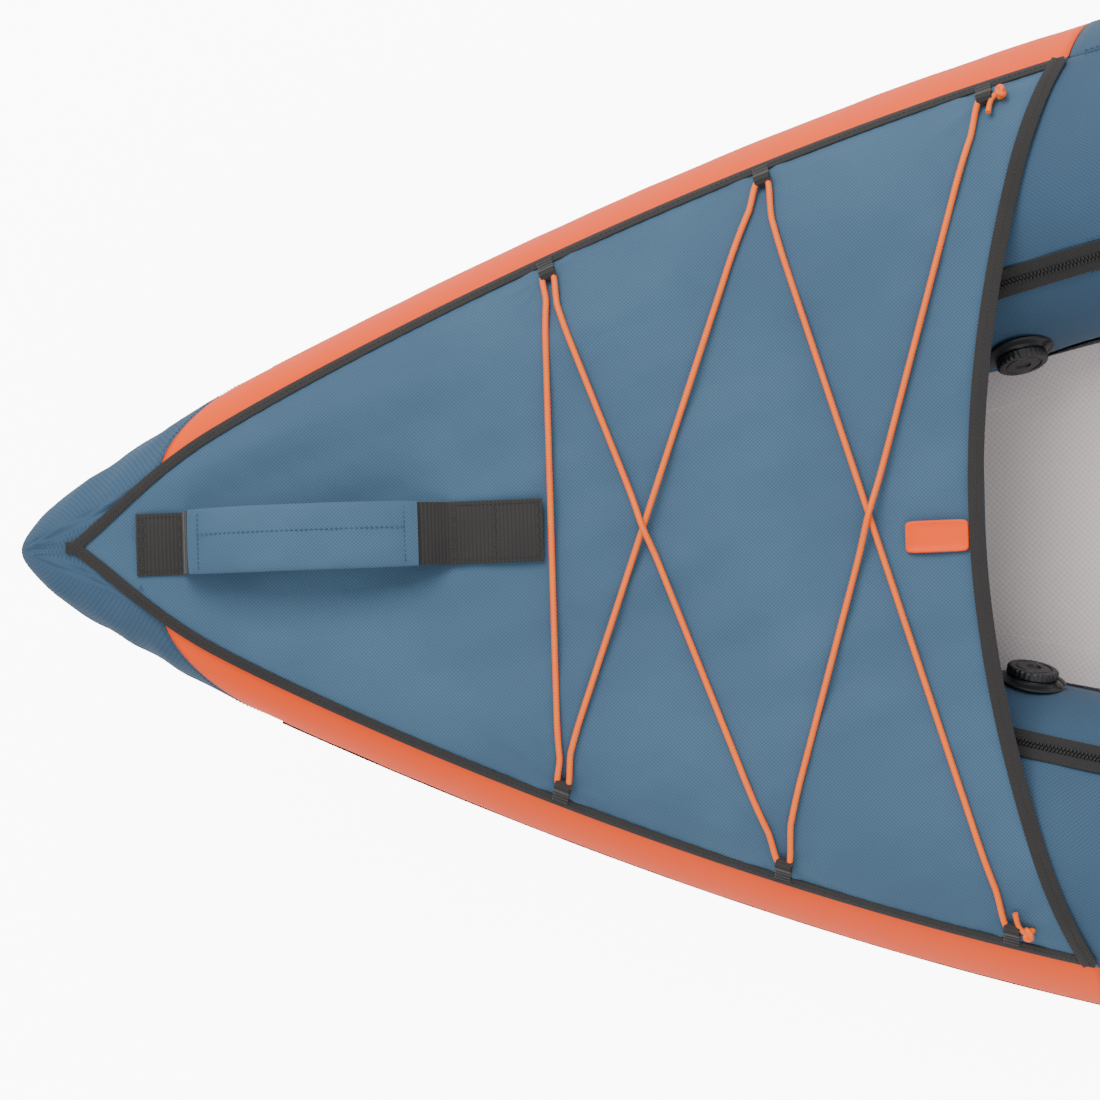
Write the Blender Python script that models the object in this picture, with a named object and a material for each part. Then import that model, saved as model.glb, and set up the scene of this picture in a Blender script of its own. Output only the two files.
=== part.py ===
"""A single-seat touring inflatable kayak: two air tubes in a textile cover, a drop-stitch floor, two decks,
their fittings, and the seat.

+X points to the bow, +Y to port and +Z up. The origin is on the ground, under the middle of the hull.
Lengths are in metres. Places along the hull are given as a distance from the nearer nose.
"""

import math

import bmesh
import bpy
from mathutils import Matrix, Vector

# Hull lines
LENGTH = 3.35
BEAM = 0.915
TUBE_RADIUS = 0.125
END_TAPER = 1.35  # from a nose to where the hull reaches its full beam
BEAM_POWER = 1.87
NOSE_HALF_BREADTH = 0.0372
RADIUS_TAPER = 0.80  # from a nose to where the tubes reach their full radius
RADIUS_POWER = 2.25
NOSE_RADIUS = 0.030
NOSE_ROUND = 0.045  # length of the rounded tip
SHEER_RISE = 0.09  # climb of the top line towards each nose
BOTTOM_SEAM_ANGLE = math.radians(97)  # from the top of the tube, outboard

# Fabric
COVER = 0.0012
BOTTOM = 0.0015
BLADDER = 0.0008
DECK = 0.0010
BINDING = 0.0016
GAP = 0.0003  # between touching pieces
TRIM_GAP = 0.0007  # under pieces that lie on a curved skin
MIDDLE_GAP = 0.0004  # from the middle plane to each tube, where the tubes are pressed together
SEAM_GIRTH = 0.006  # share of a girth step that a lengthwise seam leaves open on each side
DECK_LIFT = 0.0008
DECK_TOP = DECK_LIFT + DECK

# Decks
NOSE_SEAM = 0.123
DECK_TIP = NOSE_ROUND
DECK_CORNER = 0.854
DECK_REAR_SWEEP = 0.071  # how far the middle of the rear edge lies ahead of its corners
EDGE_INSET = 0.0365  # from the hull's side to the deck edge
BINDING_WIDTH = 0.009
REAR_BINDING_WIDTH = 0.012

# Floor
FLOOR_HEIGHT = 0.10
FLOOR_SKIN = 0.0012
FLOOR_END = 0.45
FLOOR_CLEARANCE = 0.001
FLOOR_CHAMFER = 0.020
FLOOR_BASE = BOTTOM + GAP

# Bladders
BLADDER_END = 0.170

# Elastic cord and its loops
CORD_RADIUS = 0.0025
LOOP_DISTANCES = (0.435, 0.609, 0.788)
LOOP_WIDTH = 0.013
LOOP_HOLE = 0.0036
LOOP_WALL = 0.0012
LOOP_REACH = 0.0150  # from the binding to the middle of the hole
CORD_LIFT = 0.0012
CROSSING_LIFTS = (0.0062, 0.0062, None, 0.0, 0.0)  # for each leg of the cord: which one passes over
KNOT_RADIUS = 0.0070

# Handles
HANDLE_WIDTH = 0.050
WEBBING = 0.0022
HANDLE_FRONT = 0.104
HANDLE_FRONT_FOOT = 0.143
HANDLE_REAR_FOOT = 0.357
HANDLE_REAR = 0.433
GRIP_FRONT = 0.153
GRIP_REAR = 0.338
GRIP_END_HEIGHT = 0.021
GRIP_CROWN_HEIGHT = 0.036
GRIP_THICKNESS = 0.011
GRIP_WIDTH = 0.053

# Badge
BADGE_DISTANCE = 0.7455
BADGE_OFFSET = 0.0175
BADGE_LENGTH = 0.050
BADGE_WIDTH = 0.025
BADGE_THICKNESS = 0.0008

# Zips
ZIP_START = 0.78
ZIP_GIRTH = -1.1
ZIP_WIDTH = 0.025
ZIP_TAPE = 0.0012
ZIP_TEETH_WIDTH = 0.006
ZIP_TEETH_HEIGHT = 0.0022
SLIDER_PLACE = 0.300
SLIDER_WIDTH = 0.010

# Valves
TUBE_VALVE_DISTANCE = 0.797
TUBE_VALVE_GIRTH = -2.5
TUBE_VALVE_FLANGE = 0.027
TUBE_VALVE_BARREL = 0.019
TUBE_VALVE_DEPTH = 0.014
VALVE_FLANGE_HEIGHT = 0.003
TUBE_VALVE_NECK = 0.0205
TUBE_VALVE_NECK_HEIGHT = 0.006
VALVE_CAP_HEIGHT = 0.007
CAP_HINGE_REACH = 0.0005  # from a valve's rim to the pin line of its cap
VALVE_BORE = 0.0135
FLOOR_VALVE_X = -0.62
FLOOR_VALVE_ROOM = 0.1075  # from its axis to the widest part of the port tube amidships
FLOOR_VALVE_FLANGE = 0.025
FLOOR_VALVE_BARREL = 0.017
FLOOR_VALVE_DEPTH = 0.018
FLOOR_VALVE_BORE = 0.011
FLOOR_VALVE_CAP = 0.0215
PLUNGER_RADIUS = 0.0085
PLUNGER_HEIGHT = 0.008
HOLE_CLEARANCE = 0.0004

# Seat
CUSHION_FRONT = 0.12
CUSHION_REAR = -0.30
CUSHION_SIDE_ROOM = 0.0275  # from the cushion to the widest part of each tube
CUSHION_HEIGHT = 0.050
BACKREST_SIDE_ROOM = 0.0375
BACKREST_HEIGHT = 0.36
BACKREST_THICKNESS = 0.045
BACKREST_LEAN = math.radians(12)
SEAT_STRAP_HEIGHT = 0.24
SEAT_STRAP_WIDTH = 0.025
SEAT_STRAP = 0.002
ANCHOR_PLACE = 0.10
ANCHOR_LENGTH = 0.040
ANCHOR_WIDTH = 0.022
ANCHOR_HEIGHT = 0.012

# Footrest
FOOTREST_DISTANCE = 0.662
FOOTREST_RADIUS = 0.045
FOOTREST_SIDE_ROOM = 0.008
FOOT_STRAP_DISTANCE = 0.747
FOOT_STRAP_WIDTH = 0.020
FOOT_STRAP = 0.0015

# Fin box
FIN_DISTANCE = 0.428
FIN_BOX_LENGTH = 0.120
FIN_BOX_WIDTH = 0.034
FIN_BOX_DEPTH = 0.020
FIN_SLOT_WIDTH = 0.009
FIN_SLOT_DEPTH = 0.016

INNER_STEP = math.radians(30)
OUTER_GIRTH = 7  # the underside of the tube, counted outboard from its top
INNER_GIRTH = -6  # the same place, counted inboard
EDGE_GIRTH = 2
SEAM_LINE_GIRTH = 4
ROUND_SIDES = 28


def clear_scene():
    for scene_object in list(bpy.data.objects):
        bpy.data.objects.remove(scene_object)


def finish(name, hex_colour, roughness, metallic=0.0):
    """A plain Principled material from an sRGB colour."""
    material = bpy.data.materials.new(name)
    material.use_nodes = True
    shader = material.node_tree.nodes["Principled BSDF"]
    channels = [int(hex_colour[i : i + 2], 16) / 255 for i in (1, 3, 5)]
    linear = [c / 12.92 if c <= 0.04045 else ((c + 0.055) / 1.055) ** 2.4 for c in channels]
    shader.inputs["Base Color"].default_value = (*linear, 1.0)
    shader.inputs["Roughness"].default_value = roughness
    shader.inputs["Metallic"].default_value = metallic
    return material


def make_finishes():
    return {
        "blue": finish("blue_textile", "#55758F", 0.85),
        "deck": finish("deck_textile", "#5F8099", 0.85),
        "orange": finish("orange_pvc", "#F9743F", 0.5),
        "black_pvc": finish("black_pvc", "#1B1C1E", 0.5),
        "webbing": finish("black_webbing", "#202124", 0.8),
        "cord": finish("orange_cord", "#FF7416", 0.7),
        "floor": finish("grey_floor", "#B3ABAA", 0.8),
        "plastic": finish("black_plastic", "#17181A", 0.45),
        "bladder": finish("clear_bladder", "#C9CDD0", 0.3),
        "foam": finish("seat_textile", "#3F4C58", 0.85),
    }


# Hull shape


class Section:
    """The two round tubes in one upright slice of the hull."""

    def __init__(self, distance):
        taper = 1 - min(distance, END_TAPER) / END_TAPER
        swell = 1 - min(distance, RADIUS_TAPER) / RADIUS_TAPER
        tip = 1 - min(distance, NOSE_ROUND) / NOSE_ROUND
        rounding = math.sqrt(1 - tip**2)
        breadth = BEAM / 2 - (BEAM / 2 - NOSE_HALF_BREADTH) * taper**BEAM_POWER
        radius = TUBE_RADIUS - (TUBE_RADIUS - NOSE_RADIUS) * swell**RADIUS_POWER
        self.centre_z = 2 * TUBE_RADIUS + SHEER_RISE * taper**2 - radius
        self.radius = radius * rounding
        self.centre_y = (breadth - radius) * rounding
        past_tip = max(distance - DECK_TIP, 0)
        deck_half = (breadth - EDGE_INSET) * (1 - math.exp(-past_tip / 0.02))
        sine = (deck_half - breadth + radius) / radius
        self.edge = math.asin(min(max(sine, 0.25), 0.95))

    def angle(self, girth):
        """Angle from the top of the tube at a girth step, outboard positive."""
        if girth <= 0:
            return girth * INNER_STEP
        if girth <= EDGE_GIRTH:
            return self.edge * girth / EDGE_GIRTH
        if girth <= SEAM_LINE_GIRTH:
            share = (girth - EDGE_GIRTH) / (SEAM_LINE_GIRTH - EDGE_GIRTH)
            return self.edge + (BOTTOM_SEAM_ANGLE - self.edge) * share
        share = (girth - SEAM_LINE_GIRTH) / (OUTER_GIRTH - SEAM_LINE_GIRTH)
        return BOTTOM_SEAM_ANGLE + (math.pi - BOTTOM_SEAM_ANGLE) * share

    def point(self, side, girth, offset):
        """(y, z) of a place on the skin. Side 0 is the middle of the flat between the tubes."""
        angle = self.angle(girth)
        reach = self.radius + offset
        y = self.centre_y + reach * math.sin(angle)
        if girth < 0:
            y = max(y, MIDDLE_GAP - offset)
        return side * y, self.centre_z + reach * math.cos(angle)


def split(start, end, count):
    return [start + (end - start) * i / count for i in range(count)]


def hull_stations():
    """Distances from a nose at which the hull's panels fold, out to the middle."""
    tip = [NOSE_ROUND * (1 - math.cos(math.pi / 2 * i / 3)) for i in range(3)]
    return (
        tip
        + split(NOSE_ROUND, NOSE_SEAM, 2)
        + split(NOSE_SEAM, DECK_CORNER, 6)
        + split(DECK_CORNER, END_TAPER, 3)
        + [END_TAPER, LENGTH / 2]
    )


STATIONS = hull_stations()
SECTIONS = [Section(distance) for distance in STATIONS]


def distance_at(x):
    return LENGTH / 2 - abs(x)


def skin(x, side, girth, offset):
    """A point on the folded skin, straight between stations and between girth steps."""
    distance = min(max(distance_at(x), 0), LENGTH / 2)
    place = next(i for i in range(len(STATIONS) - 1) if distance <= STATIONS[i + 1] + 1e-9)
    along = (distance - STATIONS[place]) / (STATIONS[place + 1] - STATIONS[place])
    low = math.floor(girth)
    across = girth - low
    y = z = 0.0
    for section, share in ((SECTIONS[place], 1 - along), (SECTIONS[place + 1], along)):
        for step, part in ((low, 1 - across), (low + 1, across)):
            if part:
                point = section.point(side, step, offset)
                y += point[0] * share * part
                z += point[1] * share * part
    return Vector((x, y, z))


def rows_between(bow_x, stern_x):
    """Both ends, and every station between them, from bow to stern."""
    places = [LENGTH / 2 - d for d in STATIONS[:-1]] + [d - LENGTH / 2 for d in STATIONS[-2::-1]]
    inside = [x for x in places if stern_x + 1e-3 < x < bow_x - 1e-3]
    return [bow_x, *inside, stern_x]


def end_x(end, distance):
    """Place along the hull at a distance from the bow (end 1) or the stern (end -1)."""
    return end * (LENGTH / 2 - distance)


# Solids


def add_object(name, mesh, material):
    made = bpy.data.objects.new(name, mesh)
    made.data.materials.append(material)
    bpy.context.scene.collection.objects.link(made)
    return made


def solid(name, points, faces, material):
    """One closed mesh, turned so that its faces point out."""
    mesh = bpy.data.meshes.new(name)
    mesh.from_pydata(points, [], faces)
    work = bmesh.new()
    work.from_mesh(mesh)
    bmesh.ops.remove_doubles(work, verts=work.verts, dist=1e-6)
    if work.calc_volume(signed=True) < 0:
        bmesh.ops.reverse_faces(work, faces=work.faces)
    work.to_mesh(mesh)
    work.free()
    return add_object(name, mesh, material)


def shell(name, outer, inner, material, skipped=(), wrap=False, flips=()):
    """A sheet between two matching grids of points, closed by a rim round each free edge.

    The cells in flips are folded along their other diagonal, so that sheets which lie on each other fold alike.
    """
    columns = len(outer[0])
    size = len(outer) * columns
    points = [p for row in outer for p in row] + [p for row in inner for p in row]
    sheet = []
    for i in range(len(outer) - 1):
        for j in range(columns if wrap else columns - 1):
            if (i, j) in skipped:
                continue
            a, b = i * columns + j, i * columns + (j + 1) % columns
            c, d = b + columns, a + columns
            sheet += [(a, b, d), (b, c, d)] if (i, j) in flips else [(a, b, c), (a, c, d)]
    edges = {(face[k], face[(k + 1) % 3]) for face in sheet for k in range(3)}
    faces = sheet + [tuple(size + v for v in reversed(face)) for face in sheet]
    for a, b in sorted(edges):
        if (b, a) not in edges and points[a] != points[b]:
            faces += [(b, a, size + a), (b, size + a, size + b)]
    return solid(name, points, [f for f in faces if spread(points, f)], material)


def spread(points, face):
    """Whether a triangle's corners are three separate places."""
    a, b, c = (points[v] for v in face)
    return (a - b).length > 1e-6 and (b - c).length > 1e-6 and (c - a).length > 1e-6


def turned_folds(rows, columns):
    """The cells that fold along their other diagonal, so that both sides and both ends mirror each other."""
    falls = [columns[j + 1][1] < columns[j][1] for j in range(len(columns) - 1)]
    return {(i, j) for i, x in enumerate(rows) for j, fall in enumerate(falls) if fall != (x <= 0)}


def sheet_on_skin(name, rows, columns, outer, inner, material):
    """A panel that follows the hull: columns are (side, girth), outer and inner its offsets."""
    grids = [[[skin(x, *column, offset) for column in columns] for x in rows] for offset in (outer, inner)]
    return shell(name, *grids, material, flips=turned_folds(rows, columns))


def extruded(name, outline, width, frame, material, hole=None):
    """An outline in the frame's XY plane, made width thick along its Z, with an optional hole of as many points."""
    count = len(outline)
    rings = [outline] if hole is None else [outline, hole]
    points = [
        frame @ Vector((u, v, height)) for ring in rings for height in (-width / 2, width / 2) for u, v in ring
    ]
    faces = []
    for k in range(len(rings)):
        base = 2 * k * count
        for i in range(count):
            j = (i + 1) % count
            wall = (base + i, base + j, base + count + j, base + count + i)
            faces.append(wall if k == 0 else wall[::-1])
    if hole is None:
        faces += [tuple(reversed(range(count))), tuple(range(count, 2 * count))]
    else:
        for i in range(count):
            j = (i + 1) % count
            faces.append((j, i, 2 * count + i, 2 * count + j))
            faces.append((count + i, count + j, 3 * count + j, 3 * count + i))
    return solid(name, points, faces, material)


def thick_line(points, thickness):
    """The outline of a bent strip round a line of (u, v) points."""
    line = [Vector(p) for p in points]
    left, right = [], []
    for i, point in enumerate(line):
        before = (point - line[i - 1]).normalized() if i else None
        after = (line[i + 1] - point).normalized() if i < len(line) - 1 else None
        along = ((before or after) + (after or before)).normalized()
        normal = Vector((-along.y, along.x))
        widen = 1 / max(along.dot(before or after), 0.5)
        left.append(tuple(point + normal * thickness / 2 * widen))
        right.append(tuple(point - normal * thickness / 2 * widen))
    return left + right[::-1]


def turned(name, profile, frame, material, sides=ROUND_SIDES):
    """A profile of (radius, height) pairs spun round the frame's Z. A closed ring unless it starts and ends at 0."""
    points, faces = [], []
    for radius, height in profile:
        for k in range(sides):
            angle = 2 * math.pi * k / sides
            points.append(frame @ Vector((radius * math.cos(angle), radius * math.sin(angle), height)))
    solid_core = profile[0][0] == 0 and profile[-1][0] == 0
    steps = len(profile) - 1 if solid_core else len(profile)
    for i in range(steps):
        for k in range(sides):
            a, b = i * sides + k, i * sides + (k + 1) % sides
            j = (i + 1) % len(profile) * sides
            c, d = j + (k + 1) % sides, j + k
            faces += [f for f in ((a, b, c), (a, c, d)) if spread(points, f)]
    return solid(name, points, faces, material)


def block(name, size, frame, material, bevel=0.0):
    """A box centred on the frame, with rounded edges."""
    half = [side / 2 for side in size]
    outline = [(-half[0], -half[1]), (half[0], -half[1]), (half[0], half[1]), (-half[0], half[1])]
    made = extruded(name, outline, size[2], frame, material)
    if bevel:
        rounding = made.modifiers.new("Rounding", "BEVEL")
        rounding.width = bevel
        rounding.segments = 2
    return made


def pivot_at(made, place):
    """Moves the object's origin to a place on its joint's axis. Its shape stays where it is."""
    made.data.transform(Matrix.Translation(-place))
    made.location = place


def drill(target, radius, depth, frame):
    """Cuts a round hole through a sheet at the frame's origin, along its Z."""
    name = target.name + "_drill"
    cutter = turned(name, [(0, -depth), (radius, -depth), (radius, depth), (0, depth)], frame, target.data.materials[0])
    cutter.hide_render = True
    cutter.display_type = "WIRE"
    hole = target.modifiers.new("Hole", "BOOLEAN")
    hole.operation = "DIFFERENCE"
    hole.object = cutter


def frame_from(origin, x_axis, z_axis):
    """A placement whose Z is z_axis and whose X lies as near x_axis as it can."""
    z = z_axis.normalized()
    x = (x_axis - z * x_axis.dot(z)).normalized()
    y = z.cross(x)
    return Matrix((
        (x.x, y.x, z.x, origin.x),
        (x.y, y.y, z.y, origin.y),
        (x.z, y.z, z.z, origin.z),
        (0, 0, 0, 1),
    ))


def skin_frame(x, side, girth, offset):
    """A placement on the tube: X towards the bow, Z out of the skin."""
    step = 0.02
    along = skin(x + step, side, girth, 0) - skin(x - step, side, girth, 0)
    across = skin(x, side, girth + 0.2, 0) - skin(x, side, girth - 0.2, 0)
    normal = along.cross(across) * side
    return frame_from(skin(x, side, girth, offset), along, normal)


# Deck surface


def deck_half(x):
    """Length along the deck from its middle to its edge, and the lengths to the folds in between."""
    points = [skin(x, 1, girth, 0) for girth in (0, 1, EDGE_GIRTH)]
    first = points[0].y
    second = first + (points[1] - points[0]).length
    return first, second, second + (points[2] - points[1]).length


def deck_point(x, across, offset):
    """A point over the deck, across metres from its middle measured along the cloth."""
    side = 1 if across >= 0 else -1
    first, second, edge = deck_half(x)
    reach = abs(across)
    if reach <= first:
        share = reach / first
        middle, top = skin(x, 0, 0, offset), skin(x, side, 0, offset)
        return middle.lerp(top, share)
    if reach <= second:
        return skin(x, side, (reach - first) / (second - first), offset)
    return skin(x, side, 1 + min((reach - second) / (edge - second), 1), offset)


def rear_edge_x(end, share):
    """Place of the deck's rear edge, from its middle (share 0) to a corner (share 1 or -1)."""
    return end_x(end, DECK_CORNER - DECK_REAR_SWEEP * (1 - share**2))


def deck_frame(x, across, offset):
    """A placement on the deck: X towards the bow, Z out of the cloth."""
    step = 0.004
    along = deck_point(x + step, across, 0) - deck_point(x - step, across, 0)
    sideways = deck_point(x, across + step, 0) - deck_point(x, across - step, 0)
    return frame_from(deck_point(x, across, offset), along, along.cross(sideways))


# Sub-assemblies

SIDES = {"port": 1, "starboard": -1}
ENDS = {"bow": 1, "stern": -1}
DECK_COLUMNS = [(1, 2), (1, 1), (1, 0), (0, 0), (-1, 0), (-1, 1), (-1, 2)]


def make_bottom(looks):
    """The black PVC sheet from seam to seam under the tubes and the floor."""
    rows = rows_between(end_x(1, NOSE_SEAM + GAP), end_x(-1, NOSE_SEAM + GAP))
    first = SEAM_LINE_GIRTH + SEAM_GIRTH
    port = [(1, first), (1, 5), (1, 6), (1, OUTER_GIRTH)]
    columns = port + [(0, OUTER_GIRTH)] + [(-1, girth) for _, girth in reversed(port)]
    sheet_on_skin("hull_bottom", rows, columns, 0, -BOTTOM, looks["black_pvc"])


def make_side_panels(looks):
    """Orange panels beside the decks and blue ones between them, from the deck edge to the bottom seam."""
    corner = end_x(1, DECK_CORNER)
    nose = end_x(1, NOSE_SEAM + GAP)
    stretches = {
        "bow": (nose, corner + GAP, "orange"),
        "mid": (corner - GAP, GAP - corner, "blue"),
        "stern": (-corner - GAP, -nose, "orange"),
    }
    columns = [EDGE_GIRTH + SEAM_GIRTH, 3, SEAM_LINE_GIRTH - SEAM_GIRTH]
    for place, (start, stop, colour) in stretches.items():
        for name, side in SIDES.items():
            rows = rows_between(start, stop)
            girths = [(side, girth) for girth in columns]
            sheet_on_skin(f"side_panel_{place}_{name}", rows, girths, 0, -COVER, looks[colour])


def make_tube_covers(looks):
    """The textile over the top and down the inner side of each tube."""
    rows = rows_between(end_x(1, NOSE_SEAM + GAP), end_x(-1, NOSE_SEAM + GAP))
    girths = [EDGE_GIRTH - SEAM_GIRTH, 1, 0, -1, -2, -3, -4, -5]
    covers = {}
    for name, side in SIDES.items():
        columns = [(side, girth) for girth in girths]
        covers[name] = sheet_on_skin(f"tube_cover_{name}", rows, columns, 0, -COVER, looks["blue"])
    return covers


def make_noses(looks):
    """The fabric cap over each nose, open under the deck and at its back."""
    port = [(1, girth) for girth in range(OUTER_GIRTH + 1)]
    columns = port + [(0, OUTER_GIRTH)] + [(-1, girth) for _, girth in reversed(port)] + [(0, 0)]
    count = len(columns)
    under_deck = {0, 1, count - 2, count - 1, count - 3, count - 4}
    distances = [d for d in STATIONS if 0 < d < NOSE_SEAM - 1e-6] + [NOSE_SEAM - GAP]
    for name, end in ENDS.items():
        rows = [end_x(end, d) for d in distances]
        grids = []
        for offset, tip in ((0, 0), (-COVER, COVER)):
            point = Vector((end_x(end, tip), 0, Section(0).centre_z))
            grids.append([[point] * count] + [[skin(x, *c, offset) for c in columns] for x in rows])
        first_deck_row = 1 + next(i for i, d in enumerate(distances) if d >= DECK_TIP - 1e-6)
        skipped = {(i, j) for i in range(first_deck_row, len(rows)) for j in under_deck}
        shell(f"{name}_nose", *grids, looks["blue"], skipped, wrap=True)


def make_bladders(looks):
    """The air tubes: thin skins with pointed ends, open at the valve."""
    bladders = {}
    outside = -BOTTOM - GAP
    for name, side in SIDES.items():
        columns = [(side, girth) for girth in (*range(OUTER_GIRTH + 1), *range(INNER_GIRTH + 1, 0))]
        rows = rows_between(end_x(1, BLADDER_END), end_x(-1, BLADDER_END))[1:-1]
        grids = []
        for offset, inset in ((outside, 0), (outside - BLADDER, BLADDER)):
            tips = []
            for end in (1, -1):
                tube = Section(BLADDER_END + inset)
                tips.append(Vector((end_x(end, BLADDER_END + inset), side * tube.centre_y, tube.centre_z)))
            body = [[skin(x, *column, offset) for column in columns] for x in rows]
            grids.append([[tips[0]] * len(columns), *body, [tips[1]] * len(columns)])
        places = [end_x(1, BLADDER_END), *rows]
        flips = turned_folds(places, [*columns, columns[0]])
        bladders[name] = shell(f"tube_bladder_{name}", *grids, looks["bladder"], wrap=True, flips=flips)
    return bladders


def make_floor(looks):
    """The drop-stitch floor: a flat air mattress that tapers between the tubes, open at its valve."""
    rows = rows_between(end_x(1, FLOOR_END), end_x(-1, FLOOR_END))
    grids = []
    for inset in (0, FLOOR_SKIN):
        grid = []
        for i, x in enumerate(rows):
            place = x - inset * (i == 0) + inset * (i == len(rows) - 1)
            base = skin(x, 0, OUTER_GIRTH, 0).z + FLOOR_BASE
            half = skin(x, 1, INNER_GIRTH / 2, 0).y - FLOOR_CLEARANCE
            chamfer = min(FLOOR_CHAMFER, half / 2)
            inner = half - inset
            low, high = base + inset, base + FLOOR_HEIGHT - inset
            right = [(inner - chamfer, low), (inner, low + chamfer), (inner, high - chamfer), (inner - chamfer, high)]
            left = [(-y, z) for y, z in reversed(right)]
            grid.append([Vector((place, y, z)) for y, z in right + left])
        tips = [[sum(row, Vector()) / len(row)] * len(row) for row in (grid[0], grid[-1])]
        grids.append([tips[0], *grid, tips[1]])
    return shell("drop_stitch_floor", *grids, looks["floor"], wrap=True)


def floor_top(x):
    return skin(x, 0, OUTER_GIRTH, 0).z + FLOOR_BASE + FLOOR_HEIGHT


def make_decks(looks):
    """The stretched decks, wrapped over the tubes to their outer sides, with a swept rear edge."""
    for name, end in ENDS.items():
        limit = DECK_CORNER - DECK_REAR_SWEEP - 0.01
        distances = [d for d in STATIONS if DECK_TIP - 1e-6 <= d < limit]
        rows = [end_x(end, d) for d in distances]
        rear = [rear_edge_x(end, rear_share(end, *column)) for column in DECK_COLUMNS]
        grids = []
        for offset in (DECK_TOP, DECK_LIFT):
            grid = [[skin(x, *column, offset) for column in DECK_COLUMNS] for x in rows]
            grid.append([skin(x, *column, offset) for x, column in zip(rear, DECK_COLUMNS)])
            grids.append(grid)
        shell(f"{name}_deck", *grids, looks["deck"], flips=turned_folds([1] * len(distances), DECK_COLUMNS))


def rear_share(end, side, girth):
    """How far out along the rear edge a deck fold meets it, from 0 at the middle to 1 at the corner."""
    if side == 0:
        return 0.0
    share = 1.0
    for _ in range(6):
        folds = deck_half(rear_edge_x(end, share))
        share = folds[girth] / folds[EDGE_GIRTH]
    return share


def make_bindings(looks):
    """The black tape sewn round the whole edge of each deck, as one flat ring."""
    low = DECK_TOP + TRIM_GAP
    rear_folds = [1.0] + [rear_share(1, 1, girth) for girth in (1, 0)] + [0.0]
    for name, end in ENDS.items():
        distances = [d for d in STATIONS if DECK_TIP + 1e-6 < d < DECK_CORNER - 0.02]
        front = end_x(end, DECK_TIP)
        behind = front - end * BINDING_WIDTH
        ring = []
        for side in (1, -1):
            run = []
            for fold in (None, 0, 1, 2)[side < 0 :]:
                outer, inner = (0, 0) if fold is None else (deck_half(front)[fold], deck_half(behind)[fold])
                inner = min(inner, deck_half(behind)[2] - BINDING_WIDTH)
                run.append(((front, side * outer), (behind, side * inner)))
            for d in distances:
                x = end_x(end, d)
                edge = deck_half(x)[2]
                run.append(((x, side * edge), (x, side * (edge - BINDING_WIDTH))))
            for share in rear_folds if side == 1 else rear_folds[:-1]:
                x = rear_edge_x(end, share)
                inner_x = x + end * REAR_BINDING_WIDTH
                inner_edge = deck_half(inner_x)[2]
                inner = min(inner_edge * share, inner_edge - BINDING_WIDTH)
                run.append(((x, side * deck_half(x)[2] * share), (inner_x, side * inner)))
            ring += run if side == 1 else run[::-1]
        rows = [[pair[k] for pair in ring] for k in (0, 1)]
        grids = [[[deck_point(*p, offset) for p in row] for row in rows] for offset in (low + BINDING, low)]
        shell(f"{name}_deck_binding", *grids, looks["webbing"], wrap=True)


def loop_frame(distance, side):
    """Where a loop is sewn down: X inward across the deck, Y out of the cloth, Z along the edge."""
    x = end_x(1, distance)
    inset = BINDING_WIDTH + GAP
    step = 0.01
    along = [deck_point(x + shift, side * (deck_half(x + shift)[2] - inset), 0) for shift in (-step, step)]
    height = DECK_TOP + TRIM_GAP
    seat = deck_frame(x, side * (deck_half(x)[2] - inset), height)
    forward = along[1] - along[0]
    inward = forward.cross(seat.col[2].xyz) * side
    return frame_from(seat.translation, inward, forward * -side)


def make_loops(looks):
    """Six folded webbing loops at the deck edge, each with an eye for the cord."""
    reach = LOOP_HOLE + LOOP_WALL
    angles = [math.radians(45 * k) for k in range(8)]
    hole = [(LOOP_REACH + LOOP_HOLE * math.cos(a), reach + LOOP_HOLE * math.sin(a)) for a in angles]
    outline = [(LOOP_REACH + reach * math.cos(a), reach + reach * math.sin(a)) for a in angles]
    outline[3] = (0.004, 2 * LOOP_WALL + 0.0008)
    outline[4] = (0.0, 2 * LOOP_WALL)
    outline[5] = (0.0, 0.0)
    for number, distance in enumerate(LOOP_DISTANCES, 1):
        for name, side in SIDES.items():
            frame = loop_frame(distance, side)
            extruded(f"cord_loop_{number}_{name}", outline, LOOP_WIDTH, frame, looks["webbing"], hole)


def fold_crossings(start, stop):
    """Places where a straight line over the deck meets the deck's lengthwise folds, in order."""
    found = []
    for side in (1, -1):
        for fold in (0, 1):
            share = 0.5
            for _ in range(20):
                x = start[0] + (stop[0] - start[0]) * share
                share = (side * deck_half(x)[fold] - start[1]) / (stop[1] - start[1])
            found.append(share)
    return sorted(found)


def leg_points(start, stop, height, lift):
    """The cord's way over the deck from one eye to the next. Lift None stands for a leg that crosses nothing."""
    shares = [(share, 0.0) for share in fold_crossings(start, stop)]
    if lift is not None:
        middle = start[1] / (start[1] - stop[1])
        shares += [(middle + shift, lift) for shift in (-0.02, 0.02)]
        shares += [(middle + shift, 0.0) for shift in (-0.08, 0.08)]
    places = [(start[0] + (stop[0] - start[0]) * t, start[1] + (stop[1] - start[1]) * t, up) for t, up in sorted(shares)]
    return [deck_point(x, across, height + up) for x, across, up in places]


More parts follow.
